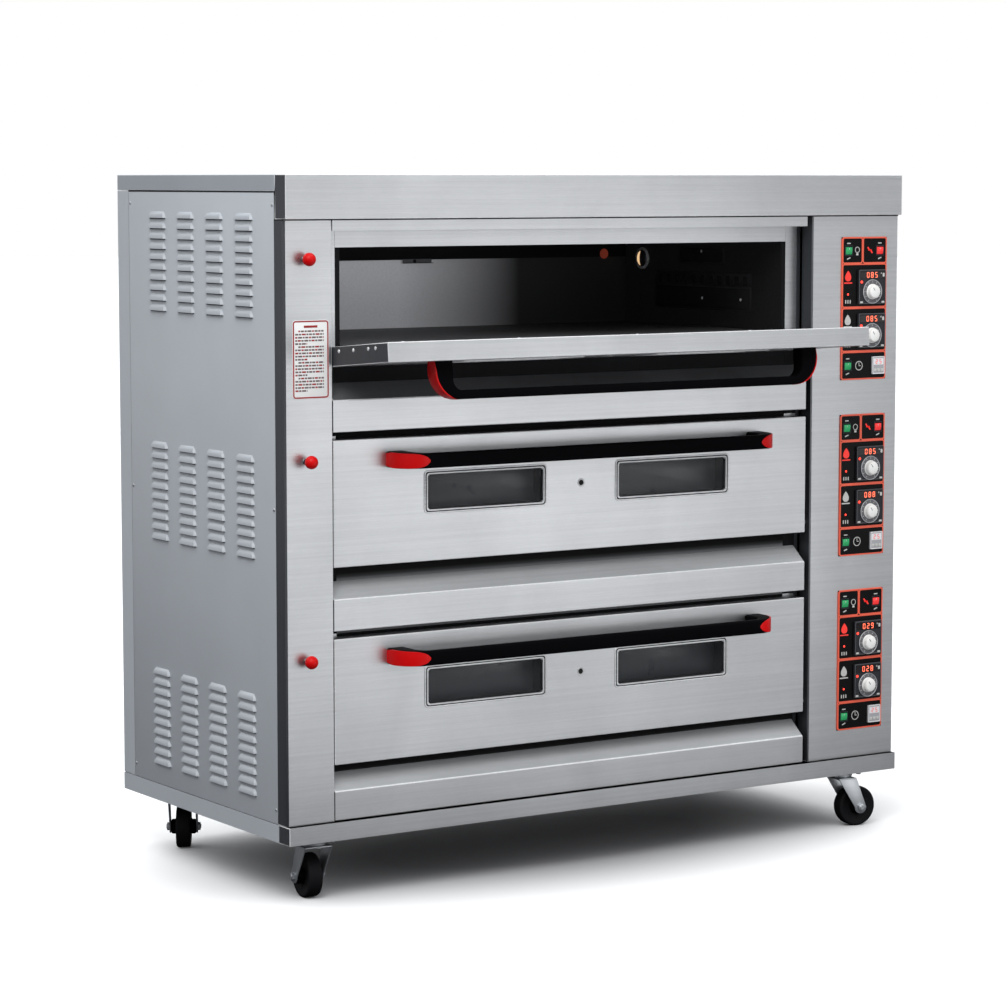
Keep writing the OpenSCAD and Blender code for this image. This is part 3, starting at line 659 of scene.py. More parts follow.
def side_panel(node, side):
    """Side sheet with its louvers. side is -1 on the left and 1 on the right."""
    low, high = node_mm(node)
    face = 0 if side < 0 else CABINET_W
    inner = face - side * 1.5
    piece = Piece(node + "_sheet", "oven", "enamel")
    piece.strip((min(face, inner), low.y, low.z), (max(face, inner), high.y, high.z), PAINT, 0.4)
    turn = Matrix.Scale(-side, 4, (1, 0, 0))
    piece.add(louver(), PAINT_HOOD_PAINTED_SHADE, *[Matrix.Translation(at(face, y, z)) @ turn for y, z in louver_places()])
    # The slot under each hood's lip, near black as painted shadow.
    piece.add(block((-0.3, 4, -2.2), (0, LOUVER_W - 4, 3.2), 0.0), BLACK_PAINTED_SHADE,
              *[Matrix.Translation(at(face, y, z)) @ turn for y, z in louver_places()])
    piece.done(node, sharp=25)


side_panel("left_side_panel", -1)
side_panel("right_side_panel", 1)


def screw(r=4.2, t=2.2):
    """Round screw head about its own axis."""
    return lathe([(0, t), (r * 0.55, t * 0.92), (r * 0.88, t * 0.55), (r, 0.15), (r, -0.3), (0, -0.3)], 18)


def panel_screws():
    piece = Piece("panel_screw_heads", "oven", "zinc")
    places = []
    for side, x in ((-1, 0), (1, CABINET_W)):
        for y in (61, 755):
            for z in (73, 746, 1418):
                places.append(facing((side, 0, 0), at(x, y, z)))
    piece.add(screw(4, 1.4), ZINC, *places)
    # A near-black slot across each head: painted shade.
    piece.add(block((-2.6, -0.5, 1.1), (2.6, 0.5, 1.45)), BLACK_PAINTED_SHADE, *places)
    piece.done("panel_screws")


panel_screws()


FLUE_X, FLUE_UP = 55, 241  # each flue's axis, up from its door's bottom edge
PIPE_HOLES = ((1645, 12.7, 18), (1545, 13.6, 19))  # cable's and gas inlet's place, bore and collar
PIPE_HOLES_Z = 230
SEAM_HALF = 9


def back_fittings():
    """Screws and folded seams of the back panel, and collars where pipes pass."""
    piece = Piece("back_fittings", "oven", "zinc")
    low, high = (corner.z for corner in node_mm("back_panel"))
    seams = (CABINET_W / 3, 2 * CABINET_W / 3)
    for x in seams:
        edge = x + SEAM_HALF
        piece.strip((x - SEAM_HALF, CABINET_D - 0.2, low + 14), (edge, CABINET_D + 0.9, high - 14), PAINT,
                    0.5)
        # A near-black line beside each seam: painted shadow of the fold.
        piece.strip((edge, CABINET_D - 0.2, low + 14), (edge + 1.5, CABINET_D + 0.3, high - 14), BLACK_PAINTED_SHADE)
    spots = [(x, z) for x in (14, *seams, CABINET_W - 14) for z in range(90, 1480, 222)]
    spots += [(bay + x, z) for bay in (160, 725, 1305) for x in (0, 145, 290) for z in (low + 8, high - 8)]
    piece.add(screw(4, 1.4), ZINC, *[facing((0, 1, 0), at(x, CABINET_D + 0.3, z)) for x, z in spots])
    for k in range(3):
        piece.add(lathe([(40.6, 0.2), (40.6, 2), (52, 2), (54, 0.2)], 44), ZINC,
                  facing((0, 1, 0), at(FLUE_X, CABINET_D, deck_up(k) + FLUE_UP)))
    for x, bore, rim in PIPE_HOLES:
        piece.add(lathe([(bore, 0), (bore, 2.2), (rim - 1, 2.2), (rim, 0)], 32), ZINC,
                  facing((0, 1, 0), at(x, CABINET_D, PIPE_HOLES_Z)))
    piece.done()


# ---- notice plate

def notice_plate():
    low, high = Vector((23, 0, 993)), Vector((115, 0, 1166))
    w, h = high.x - low.x, high.z - low.z
    centre = (low + high) / 2
    place = move(centre.x, COLUMN_Y, centre.z) @ SQUARE_ON
    piece = Piece("notice_plate", "oven", "stainless")
    piece.add(slab(w, h, 0.8, 8, 0.2), NOTICE, place)
    piece.add(ring(w - 2, h - 2, 3.2, 0.3, 7), NOTICE_RED, place @ shift(0, 0, 0.75))
    raised = shift(0, 0, 0.75)
    piece.add(slab(34, 5, 0.3), NOTICE_RED, place @ raised @ shift(0, h / 2 - 14, 0))
    for row in range(20):
        # Each row is broken into word-like dashes
        along, word = 6.0 + (8 if row % 5 == 0 else 0), row % 3
        end = (w - 12) * (0.45 if row % 5 == 4 else 0.97)
        up = h / 2 - 24 - row * 6.9
        while along < end:
            length = min((4.5, 7.5, 5.5, 10)[word % 4], end - along)
            ink = NOTICE_RED if (row + word) % 4 == 0 else NOTICE_INK
            piece.add(slab(length, 3.7, 0.25), ink,
                      place @ raised @ shift(along + length / 2 - w / 2 + 1, up, 0))
            along, word = along + length + 1.8, word + 1
    piece.done()


notice_plate()


# ---- doors

def hinge_point(k):
    return pivot(DECKS[k] + "_door_hinge")


def swing(k):
    """A door's angle at rest: the upper one hangs open."""
    rest_open = JOINTS[DECKS[k] + "_door_hinge"]["range_deg"][0]
    return math.radians(-rest_open)


def on_door(k):
    """From the door's own axes, about the middle of its hinge line, to where it rests."""
    return Matrix.Translation(hinge_point(k)) @ Matrix.Rotation(swing(k), 4, "X")


DOOR_W = 1331
DOOR_FRONT = -22  # front skin from the hinge line
RIVETS_UP = (50, 113, 177, 208)
WINDOW_UP, WINDOW_OFFSET, WINDOW_W, WINDOW_H = 134, 263.5, 314, 82
HANDLE_UP, HANDLE_H, HANDLE_REACH, HANDLE_W = 213, 34, 85, 1058
HANDLE_BAR, HANDLE_FOOT = 20, 46


def window_frames(k):
    """Pressed frames round the windows, on both faces of the door: two bright beads with a painted highlight
    and a groove of painted shade between. A near-black reveal round each opening and the black middle of the
    small ring between the windows are painted shade.
    """
    piece = Piece(DECKS[k] + "_window_frames", DECKS[k] + "_door", "stainless")
    flip = turned(-90, "X")
    w, h = WINDOW_W, WINDOW_H
    for side in (-1, 1):
        front = on_door(k) @ shift(side * WINDOW_OFFSET, DOOR_FRONT, WINDOW_UP) @ SQUARE_ON
        back = on_door(k) @ shift(side * WINDOW_OFFSET, -DOOR_FRONT, WINDOW_UP) @ flip
        for face in (front, back):
            piece.add(ring(w + 20, h + 17, 4, 2.0, 11, 1.2), STEEL_PAINTED_HIGHLIGHT, face)
            piece.add(ring(w + 13, h + 10, 4, 0.8, 9), RECESS_PAINTED_SHADE, face)
            piece.add(ring(w + 7, h + 5, 3.6, 2.0, 7, 1.0), STEEL_PAINTED_HIGHLIGHT, face)
        piece.add(ring(w - 0.6, h - 0.6, 1, 37, 8), BLACK_PAINTED_SHADE, back @ turned(180, "X"))
    spot = on_door(k) @ shift(0, DOOR_FRONT, WINDOW_UP) @ SQUARE_ON
    piece.add(lathe([(6.5, 0), (6.5, 0.5), (8.2, 1.2), (9.8, 0.6), (10, 0)], 28), STEEL_PAINTED_HIGHLIGHT, spot)
    piece.add(disc(6.5, 0.3, sides=24), BLACK_PAINTED_SHADE, spot)
    piece.done()


def door_glass(k):
    """A clear outer pane and a dark inner one at the back of each window."""
    piece = Piece(DECKS[k] + "_window_panes", DECKS[k] + "_door", "window_glass")
    w, h = WINDOW_W - 3, WINDOW_H - 3
    for side in (-1, 1):
        middle = on_door(k) @ shift(side * WINDOW_OFFSET, 0, WINDOW_UP) @ SQUARE_ON
        piece.add(slab(w, h, 4, 7, 0.4), CLEAR, middle @ shift(0, 0, -DOOR_FRONT - 5.5))
        piece.add(slab(w, h, 4, 7, 0.4), GLASS, middle @ shift(0, 0, DOOR_FRONT + 1.5))
    piece.done(DECKS[k] + "_door_glass")


def handle_stations(steps=9):
    """Outer and inner points of the bow handle in plan, left foot first, then the right by symmetry."""
    half, reach = HANDLE_W / 2, HANDLE_REACH
    outer_r, inner_r = 64, 24
    outer = [(-half, 0), (-half, -(reach - outer_r))]
    inner = [(-half + HANDLE_FOOT, 0), (-half + HANDLE_FOOT, -(reach - HANDLE_BAR - inner_r))]
    for n in range(1, steps + 1):
        a = math.radians(180 + 90 * n / steps)
        outer.append((-half + outer_r + outer_r * math.cos(a), -(reach - outer_r) + outer_r * math.sin(a)))
        inner.append((-half + HANDLE_FOOT + inner_r + inner_r * math.cos(a),
                      -(reach - HANDLE_BAR - inner_r) + inner_r * math.sin(a)))
    left = list(zip(outer, inner))
    right = [((-o[0], o[1]), (-i[0], i[1])) for o, i in reversed(left)]
    return left + right


def handle_section(outer, inner, h, r):
    """A rounded outline that spans from the inner to the outer point of the bow."""
    o, i = mm(*outer, 0), mm(*inner, 0)
    across = (o - i).normalized()
    up = Vector((0, 0, 1))
    turn = Matrix((across, up, across.cross(up))).transposed().to_4x4()
    return sheet((o - i).length * 1000, h, r, 4), Matrix.Translation((o + i) / 2) @ turn


def door_handle(k):
    piece = Piece(DECKS[k] + "_bow_handle", DECKS[k] + "_door", "handle_black")
    place = on_door(k) @ shift(0, DOOR_FRONT, HANDLE_UP)
    piece.add(loft([handle_section(o, i, elbow_height(o), 6) for o, i in handle_stations()]), BLACK, place)
    piece.done(DECKS[k] + "_door_handle", sharp=50)
    inlays = Piece(DECKS[k] + "_handle_inlays", DECKS[k] + "_door", "red_ball")
    stations = handle_stations(14)
    half = len(stations) // 2
    left = stations[:half]
    right = [((-o[0], o[1]), (-i[0], i[1])) for o, i in left]
    for part in (left, right):
        sections = [inlay_section(o, i, n / (len(part) - 1)) for n, (o, i) in enumerate(part)]
        inlays.add(loft(sections), RED, place)
    inlays.done(sharp=60)


def elbow_height(outer):
    """The bow is a little taller at its feet than along its bar."""
    return HANDLE_H + 3 * (1 - min(1.0, -outer[1] / HANDLE_REACH) ** 2)


def inlay_section(outer, inner, share):
    """A strip let into the elbow's outer face, as tall as the elbow and rounded off towards the bar."""
    o, i = Vector(outer), Vector(inner)
    across = (o - i).normalized()
    blunt = math.sqrt(max(0.02, 1 - max(0.0, (share - 0.62) / 0.38) ** 2)) * min(1.0, 0.8 + share * 3)
    depth = 1.5 + 2 * math.sin(math.pi * min(1.0, 0.2 + share))
    return handle_section(o + across * 0.6, o - across * depth, (elbow_height(outer) - 2) * blunt, 0.35)


def door_leaf(k):
    piece = Piece(DECKS[k] + "_door_leaf", DECKS[k] + "_door", "stainless")
    piece.add(folded(DECKS[k] + "_door", 2.0), SHEET)
    # End cheek with its rivets, and screws along the inner face
    for side in (-1, 1):
        cheek = [on_door(k) @ facing((side, 0, 0), mm(side * DOOR_W / 2, 11, up)) for up in RIVETS_UP]
        piece.add(screw(4.5, 1.6), STEEL_PAINTED_HIGHLIGHT, *cheek)
    inner = [on_door(k) @ facing((0, 1, 0), mm(x, -DOOR_FRONT, up))
             for x in (-620, -320, 0, 320, 620) for up in (14, 248)]
    piece.add(screw(4, 1.4), ZINC, *inner)
    piece.done(DECKS[k] + "_door", sharp=12)


for k in range(3):
    door_leaf(k)
    window_frames(k)
    door_glass(k)
    door_handle(k)


# ---- chambers

def chamber_fittings(k):
    """Lamp, hatch, vent slots and bracket inside a chamber."""
    deck = deck_up(k)
    wall = node_mm(DECKS[k] + "_chamber")[1].x - 2  # inner face of the right wall
    back = node_mm(DECKS[k] + "_chamber")[1].y - 2  # inner face of the back wall
    piece = Piece(DECKS[k] + "_chamber_fittings", "oven", "dark_steel")
    inward = lambda y, z: facing((-1, 0, 0), at(wall, y, z))
    piece.add(slab(404, 30, 0.5, 3, 0.2), CHAMBER_LIT, inward(381, deck + 168))
    # The slots, openings and the bracket's hole below are near black: painted shade.
    for n in range(11):
        piece.add(slab(17, 22, 0.9, 3, 0.3), BLACK_PAINTED_SHADE, inward(203 + 35.7 * n, deck + 165))
    piece.add(slab(404, 62, 0.8, 4, 0.3), CHAMBER_LIT, inward(381, deck + 120))
    piece.add(slab(394, 52, 1.0, 4, 0.3), BLACK_PAINTED_SHADE, inward(381, deck + 120))
    piece.add(slab(190, 42, 1.0, 3, 0.3), CHAMBER_LIT, inward(385, deck + 226))
    piece.add(slab(176, 34, 1.4, 3, 0.3), BLACK_PAINTED_SHADE, inward(385, deck + 226))
    piece.add(screw(4, 1.5), STEEL_PAINTED_HIGHLIGHT, inward(385, deck + 236) @ shift(0, 0, 1.2))
    for y in (222, 381):
        piece.add(screw(4, 1.5), STEEL_PAINTED_HIGHLIGHT, inward(y, deck + 118) @ shift(0, 0, 0.8))
    left = node_mm(DECKS[k] + "_chamber")[0].x + 2
    # A near-black band along the back wall: painted shade.
    piece.strip((left + 1, back - 4, deck + 216), (wall - 1, back - 1, deck + 267), RECESS_PAINTED_SHADE, 0.5)
    shelf = Matrix.Translation(at(772, back - 4, deck + 216))
    piece.add(block((-42, -12, -9), (42, 0, -7.5), 0.5), CHAMBER_GREY, shelf)
    piece.add(block((-42, -2, -9), (42, 0, 2), 0.5), CHAMBER_GREY, shelf)
    piece.add(disc(4.5, 0.4, sides=20), BLACK_PAINTED_SHADE, shelf @ facing((0, -1, 0), mm(-8, -2, -3.5)))
    piece.add(disc(13, 0.4, sides=28), LAMP_GLOW, facing((0, -1, 0), at(1341, back - 4.2, deck + 224)))
    piece.done()


def oven_lamps():
    piece = Piece("oven_lamp_glasses", "oven", "lamp_glass")
    for k in range(3):
        deck = deck_up(k)
        wall = node_mm(DECKS[k] + "_chamber")[1].x - 2
        spot = facing((-1, 0, 0), at(wall, 640, deck + 213))
        rim = [(18, -58), (18, 0), (28, 0), (28, 3), (25, 4.5), (22, 4.5), (22, 2)]
        piece.add(lathe(rim, 36), STEEL_PAINTED_HIGHLIGHT, spot)
        piece.add(lathe([(0, 7.6), (9, 7.0), (16, 5.4), (21, 3), (22, 2)], 36), LAMP_GLASS, spot)
        bulb = lathe([(0, 8.2), (9, 7.6), (16, 6.0), (19, 4.6)], 36)
        cut(bulb, (-0.004, 0, 0), (1, 0, 0), 1e-7, clear_outer=True)
        piece.add(bulb, LAMP_LIT, spot)
    piece.done("oven_lamps")


back_fittings()
for k in range(3):
    chamber_fittings(k)
oven_lamps()


# ---- dampers

def damper(k):
    """Ball knob with its collar on a pull rod, and the disc that closes the flue."""
    node = DECKS[k] + "_damper"
    low, high = node_mm(node)
    ball_r = 15
    axis_x, axis_z = (low.x + high.x) / 2, (low.z + high.z) / 2
    tip = low.y
    spot = facing((0, -1, 0), at(axis_x, tip + ball_r, axis_z))
    piece = Piece(node + "_pull", node, "red_ball")
    seat = -math.sqrt(ball_r ** 2 - 7 ** 2) - 1
    ball = [(0, ball_r)] + arc((0, 0), ball_r, 86, -56, 22) + [(7, seat), (0, seat)]
    piece.add(lathe(ball, 40), RED, spot)
    piece.add(lathe([(0, -12), (6.5, -12), (6.5, -16), (5, -17), (4, -17), (4, tip - high.y + ball_r),
                     (0, tip - high.y + ball_r)], 24), DARK_STEEL_AND_PAINTED_SHADE, spot)
    piece.add(disc(36, 4, 0.5), ZINC, facing((0, -1, 0), at(axis_x, high.y, axis_z)))
    piece.done(node, sharp=40)


for k in range(3):
    damper(k)

collars = Piece("damper_collars", "oven", "stainless")
for k in range(3):
    low, high = node_mm(DECKS[k] + "_damper")
    collars.add(lathe([(4.3, 0), (4.3, 1), (6.5, 1), (7.5, 0)], 24), DARK_STEEL_AND_PAINTED_SHADE,
                facing((0, -1, 0), at((low.x + high.x) / 2, COLUMN_Y, (low.z + high.z) / 2)))
collars.done()


# ---- controls

PLATE_W = 140
ROCKERS = ((-50, 142), (48, 142), (-50, -141))  # lamp, power and timer rockers from the plate's centre
CONTROLLERS = (53, -54.5)  # top and bottom heat controllers up from the plate's centre

# Lit segments of a figure: top, upper left, upper right, middle, lower left, lower right, bottom
SEGMENTS = {
    "0": (1, 1, 1, 0, 1, 1, 1), "1": (0, 0, 1, 0, 0, 1, 0), "2": (1, 0, 1, 1, 1, 0, 1),
    "5": (1, 1, 0, 1, 0, 1, 1), "8": (1, 1, 1, 1, 1, 1, 1), "9": (1, 1, 1, 1, 0, 1, 1),
}


def figure(piece, digit, h, finish, place):
    """A seven-segment figure h high."""
    w, t = h * 0.5, h * 0.13
    bars = [(0, h / 2, 0), (-w / 2, h / 4, 1), (w / 2, h / 4, 1), (0, 0, 0),
            (-w / 2, -h / 4, 1), (w / 2, -h / 4, 1), (0, -h / 2, 0)]
    for lit, (x, y, upright) in zip(SEGMENTS[digit], bars):
        if lit:
            size = (t, h / 2 - t * 0.6) if upright else (w - t * 0.4, t)
            piece.add(slab(*size, 0.3), finish, place @ shift(x, y, 0))


def cell(piece, place, left, right, bottom, top, border=3.2):
    """Printed outline of one field on the control plate."""
    centre = shift((left + right) / 2, (bottom + top) / 2, 0)
    piece.add(ring(right - left, top - bottom, border, 0.5, 7), LINE_RED, place @ centre)


def control_print(k, plate):
    """Outlines, symbols and lamps printed on a control plate. Places are from the plate's centre."""
    piece = Piece(DECKS[k] + "_panel_print", "oven", "black_panel")
    w, h = PLATE_W / 2, 175
    piece.add(ring(PLATE_W + 1, 2 * h + 1, 2.6, 3.3, 6, 0.5), LINE_RED, plate @ shift(0, 0, -2.9))
    cell(piece, plate, -w, -6, 110, h)
    cell(piece, plate, -6, w, 110, h)
    cell(piece, plate, -w, w, 2, 110)
    cell(piece, plate, -w, w, -106, 2)
    cell(piece, plate, -w, w, -h, -106)
    spot = lambda x, y: plate @ shift(x, y, 0)
    # Marks above and below the rockers
    for x, y in ROCKERS:
        piece.add(slab(11, 2.6, 0.3, 0.8), PRINT, spot(x, y + 18))
        mark = turned(20, "Z")
        piece.add(slab(11, 2.8, 0.3, 0.8), PRINT, spot(x, y - 19) @ mark)
    # Lamp symbol: bulb and cap
    piece.add(ring(15, 15, 1.6, 0.3, 7.4), PRINT, spot(-23, 144))
    piece.add(slab(7, 5, 0.3, 1), PRINT, spot(-23, 133))
    # Spark symbol: two slanted bars
    lean = turned(38, "Z")
    piece.add(slab(4, 11, 0.3, 0.6), PRINT_RED_PAINTED_GLOW, spot(13, 146) @ lean)
    piece.add(slab(4, 11, 0.3, 0.6), PRINT_RED_PAINTED_GLOW, spot(21, 140) @ lean)
    piece.add(slab(11, 3, 0.3, 0.6), PRINT_RED_PAINTED_GLOW, spot(17, 143))
    for y in CONTROLLERS:
        # Flame symbol over a burner bar, then a signal lamp over three bars
        piece.add(flame(26), PRINT_RED_PAINTED_GLOW if y > 0 else PRINT, spot(-51, y + 27))
        piece.add(slab(26, 3, 0.3, 1), PRINT_RED_PAINTED_GLOW if y > 0 else PRINT, spot(-51, y + 10))
        piece.add(disc(2.6, 0.8, 0.3, 20), LED, spot(-51, y - 18))
        for x in (-58, -51, -44):
            piece.add(slab(3, 9, 0.3, 1.2), PRINT, spot(x, y - 36))
    # Clock symbol
    piece.add(ring(23, 23, 1.8, 0.3, 11.4), PRINT, spot(-14, -141))
    piece.add(slab(1.6, 8, 0.3), PRINT, spot(-14, -137))
    piece.add(slab(6, 1.6, 0.3), PRINT, spot(-11.5, -141))
    piece.done()


def flame(h):
    """A flat flame, h high."""
    bm = bmesh.new()
    bmesh.ops.create_circle(bm, cap_ends=True, segments=20, radius=0.5)
    for v in bm.verts:
        up = v.co.y + 0.5
        v.co = mm(v.co.x * h * 0.75 * (1 - up) ** 0.45 * 1.25, v.co.y * h, 0)
    return thicken(bm, 0.3)


def controller(k, up, plate, shown):
    """Bezel, screen with three figures, scale ring and lamp of one temperature controller."""
    piece = Piece(f"{DECKS[k]}_controller_{'top' if up > 0 else 'bottom'}_face", "oven", "controller_plastic")
    centre = plate.translation + mm(21, 0, up)
    centre.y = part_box("temperature_controllers")[0].y
    spot = Matrix.Translation(centre) @ SQUARE_ON
    piece.add(ring(84, 84, 2.2, 0.9, 3, 0.4), HOUSING_RIM, spot)
    piece.add(slab(77, 17, 0.4, 1.5), SCREEN, spot @ shift(0, 29, 0))
    for n, digit in enumerate(shown):
        figure(piece, digit, 12, DIGITS, spot @ shift(-14 + 13 * n, 29, 0.4))
    piece.add(ring(4, 4, 1, 0.3, 1.9), PRINT, spot @ shift(28, 33, 0.4))
    piece.add(slab(6, 9, 0.3, 2), PRINT, spot @ shift(35, 29, 0.4))
    piece.add(disc(3.4, 1.2, 0.5, 20), LED, spot @ shift(-34, 12, 0))
    for x in (-34, 34):
        piece.add(slab(9, 5, 0.3, 1.5), PRINT, spot @ shift(x, -38, 0))
    dial = spot @ shift(0, -12, 0)
    piece.add(lathe([(19.5, 0), (19.5, 1.4), (28, 1.2), (28.4, 0)], 48), SCALE_GREY, dial)
    piece.add(lathe([(28, 0), (28, 1.5), (28.9, 1.8), (29.8, 1.5), (30, 0)], 48), SCALE, dial)
    for n in range(11):
        turn = turned(-150 + 30 * n, "Z")
        piece.add(slab(1.2, 4, 0.2), PRINT, dial @ turn @ shift(0, 24.5, 1.3))
    piece.done()


def dial(node):
    """White knob with finger grooves and a pointer line."""
    spot = facing((0, -1, 0), pivot(node + "_turn"))
    piece = Piece(node + "_knob", node, "dial_white")
    body = [(0, 14), (12.5, 14), (14.5, 13.2), (15.5, 11), (17, 3.5), (19, 2.4), (19, 1.5), (0, 1.5)]
    piece.add(lathe(body, 48), DIAL, spot)
    for n in range(24):
        turn = turned(360 * n / 24, "Z")
        piece.add(block((-0.7, 14.6, 3), (0.7, 17.0, 12), 0.4), DIAL, spot @ turn)
    piece.add(lathe([(0, 1.6), (3, 1.6), (3, -20), (0, -20)], 20), ZINC, spot)
    pointer = turned(35, "Z")
    piece.add(block((-0.7, 3, 13.8), (0.7, 12, 14.2)), HOUSING, spot @ pointer)
    piece.done(node)


def rocker(node, finish):
    """Lit rocker with two sloping faces and a printed bar, tipped as it rests."""
    spot = Matrix.Translation(pivot(node + "_rock")) @ turned(6, "X")
    piece = Piece(node + "_key", node, "green_rocker" if finish is GREEN else "red_rocker")
    bm = block((-9.4, -3.2, -9), (9.4, 6.5, 9))
    cut(bm, (0, 0, 0), (0, 0, 1), 1e-7)
    for v in bm.verts:
        if v.co.y < 0 and abs(v.co.z) < 1e-6:
            v.co.y = -0.0045
        if v.co.y > 0:
            v.co.z *= 0.75
    round_edges(bm, bm.edges, 0.7)
    piece.add(bm, finish, spot)
    piece.add(block((-1, -4.4, 3.4), (1, -3.7, 7), 0.2), PRINT, spot)
    piece.done(node)


def bezels(k, plate):
    """Frames round the rockers."""
    piece = Piece(DECKS[k] + "_rocker_bezels", "oven", "black_panel")
    for x, y in ROCKERS:
        piece.add(ring(25, 26, 2.3, 1.2, 1.5, 0.4), HOUSING, plate @ shift(x, y, 0))
    piece.done()


def timer(k, plate):
    """Timer face: screen with two figures and three keys."""
    piece = Piece(DECKS[k] + "_timer_face", "oven", "timer_plastic")
    spot = plate @ shift(44, -141, 5)
    piece.add(ring(38, 43, 2, 0.8, 2, 0.3), PALE_PLASTIC, spot)
    piece.add(slab(31, 16, 0.4, 1.5), PALE_PLASTIC, spot @ shift(0, 9, 0))
    for n, digit in enumerate("25"):
        figure(piece, digit, 10, PRINT_RED_PAINTED_GLOW, spot @ shift(-6 + 12 * n, 9, 0.4))
    for n in range(3):
        piece.add(slab(8, 7, 1.2, 1.5, 0.4), PRINT, spot @ shift(-11 + 11 * n, -12, 0))
    piece.done()


SHOWN = (("029", "028"), ("085", "088"), ("085", "085"))
for k in range(3):
    lamp_switch = pivot(DECKS[k] + "_lamp_switch_rock")
    plate_face = Vector((lamp_switch.x, at(0, COLUMN_Y - 3, 0).y, lamp_switch.z)) + mm(50, 0, -142)
    plate = Matrix.Translation(plate_face) @ SQUARE_ON
    control_print(k, plate)
    bezels(k, plate)
    timer(k, plate)
    for up, shown in zip(CONTROLLERS, SHOWN[k]):
        controller(k, up, plate, shown)
    for heat in ("top", "bottom"):
        dial(f"{DECKS[k]}_{heat}_heat_dial")
    for switch, finish in (("lamp", GREEN), ("power", RED_KEY), ("timer", GREEN)):
        rocker(f"{DECKS[k]}_{switch}_switch", finish)


# ---- casters

CASTERS = ("front_left", "front_right", "rear_left", "rear_right")


def caster(corner):
    fork, wheel = corner + "_fork", corner + "_wheel"
    swivel = pivot(corner + "_swivel")
    hub = pivot(corner + "_roll")
    trail = hub - swivel
    heading = math.atan2(trail.y, trail.x)
    reach = math.hypot(trail.x, trail.y) * 1000
    place = Matrix.Translation(Vector((swivel.x, swivel.y, hub.z))) @ Matrix.Rotation(heading, 4, "Z")
    axle = place @ shift(reach, 0, 0)
    across = axle @ turned(90, "X")

    piece = Piece(corner + "_tyre", wheel, "wheel_rubber")
    tread = [(20, 13), (24, 13.5), (37, 14.5), (41, 17), (46, 17)] + arc((46, 13), 4, 90, 0, 5)
    tread += [(r, -z) for r, z in reversed(tread)]
    piece.add(lathe(tread + [(20, 13)], 64), RUBBER, across)
    hub_half = [(6.05, 30.6), (14, 30.6), (17, 29), (18, 26), (18.5, 14), (20.2, 13)]
    piece.add(lathe(hub_half + [(r, -z) for r, z in reversed(hub_half)] + [(6.05, 30.6)], 40), BLACK, across)
    for n in range(6):
        turn = turned(360 * n / 6, "Z")
        for side in (1, -1):
            lip = turned(0 if side > 0 else 180, "X")
            piece.add(block((-1.6, 19, 11), (1.6, 37, 14.4), 0.6), RUBBER, across @ lip @ turn)
    piece.done(wheel)

    piece = Piece(corner + "_caster_fork", fork, "zinc")
    top = (node_mm(fork)[1] - (hub - CORNER) * 1000).z
    crown = 71.6  # underside of the crown above the axle
    for side in (-1, 1):
        leg = bmesh.new()
        bmesh.ops.create_circle(leg, cap_ends=True, segments=32, radius=0.016)
        for v in leg.verts:
            if v.co.y > 0:
                half_w = math.copysign(25, v.co.x) if abs(v.co.x) > 1e-6 else 0
                v.co = mm(half_w - reach, crown + 4, 0)
        bmesh.ops.remove_doubles(leg, verts=leg.verts, dist=1e-6)
        thicken(leg, 3)
        round_edges(leg, [e for e in leg.edges if e.calc_face_angle(0) > 1.2], 0.5)
        stand = turned(90, "X")
        piece.add(leg, ZINC, axle @ shift(0, 31 + 3 if side > 0 else -31, 0) @ stand)
        bolt = axle @ facing((0, side, 0), mm(0, side * 34, 0))
        head = disc(10, 6.5, 0.6, 6)
        piece.add(head, ZINC, bolt)
        piece.add(lathe([(0, 8), (5.2, 8), (6, 7), (6, -34)], 24), ZINC, bolt)
    crown_place = place @ shift(0, 0, crown)
    piece.add(lathe([(0, -1), (10, -1), (24.5, 0), (24.5, 3.6), (0, 3.6)], 40), ZINC, crown_place)
    piece.add(block((-24, -34, 0), (24, 34, 3.9), 1.2), ZINC, crown_place)
    piece.add(lathe([(0, top - crown), (6, top - crown), (6, 0), (0, 0)], 24), ZINC, crown_place)
    piece.done(fork)


for corner in CASTERS:
    caster(corner)

races = Piece("caster_races", "oven", "zinc")
for corner in CASTERS:
    spot = pivot(corner + "_swivel")
    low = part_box("caster_plates")[0].z
    races.add(lathe([(24.6, 9.5), (25.8, 9.0), (27.5, 7), (27.5, 3), (25.8, 1), (24.6, 0.5)], 40), ZINC,
              Matrix.Translation(Vector((spot.x, spot.y, low))))
    heads = [Matrix.Translation(Vector((spot.x, spot.y, low))) @ shift(x, y, 10)
             @ turned(180, "X") for x in (-36, 36) for y in (-24, 28)]
    races.add(disc(6.4, 4.5, 0.6, 6), ZINC, *heads)
races.done()


# ---- stage, light and camera

# Painted light on the floor: a bright spot and a dark surround in what it bounces onto the oven, and a
# painted shadow under the oven.
FLOOR_PAINTED_LIGHT_SPOT = (0.4, -2.7, 0)
FLOOR_BRIGHT, FLOOR_DARK = (0.72, 0.72, 0.73), (0.06, 0.06, 0.065)
FLOOR_WHITE, FLOOR_PAINTED_SHADOW = (0.96, 0.96, 0.96), (0.30, 0.30, 0.31)


def floor_reach(made, centre, start, end, squeeze=(1, 1, 1)):
    """0 within start metres of a point on the floor, rising to 1 at end metres."""
    oval = put(made, "Mapping", Vector=object_place(made), Scale=squeeze)
    away = put(made, "VectorMath")
    away.operation = "DISTANCE"
    away.inputs[1].default_value = centre
    made.node_tree.links.new(oval.outputs["Vector"], away.inputs[0])
    return spread(made, away.outputs["Value"], 0, 1, start, end)


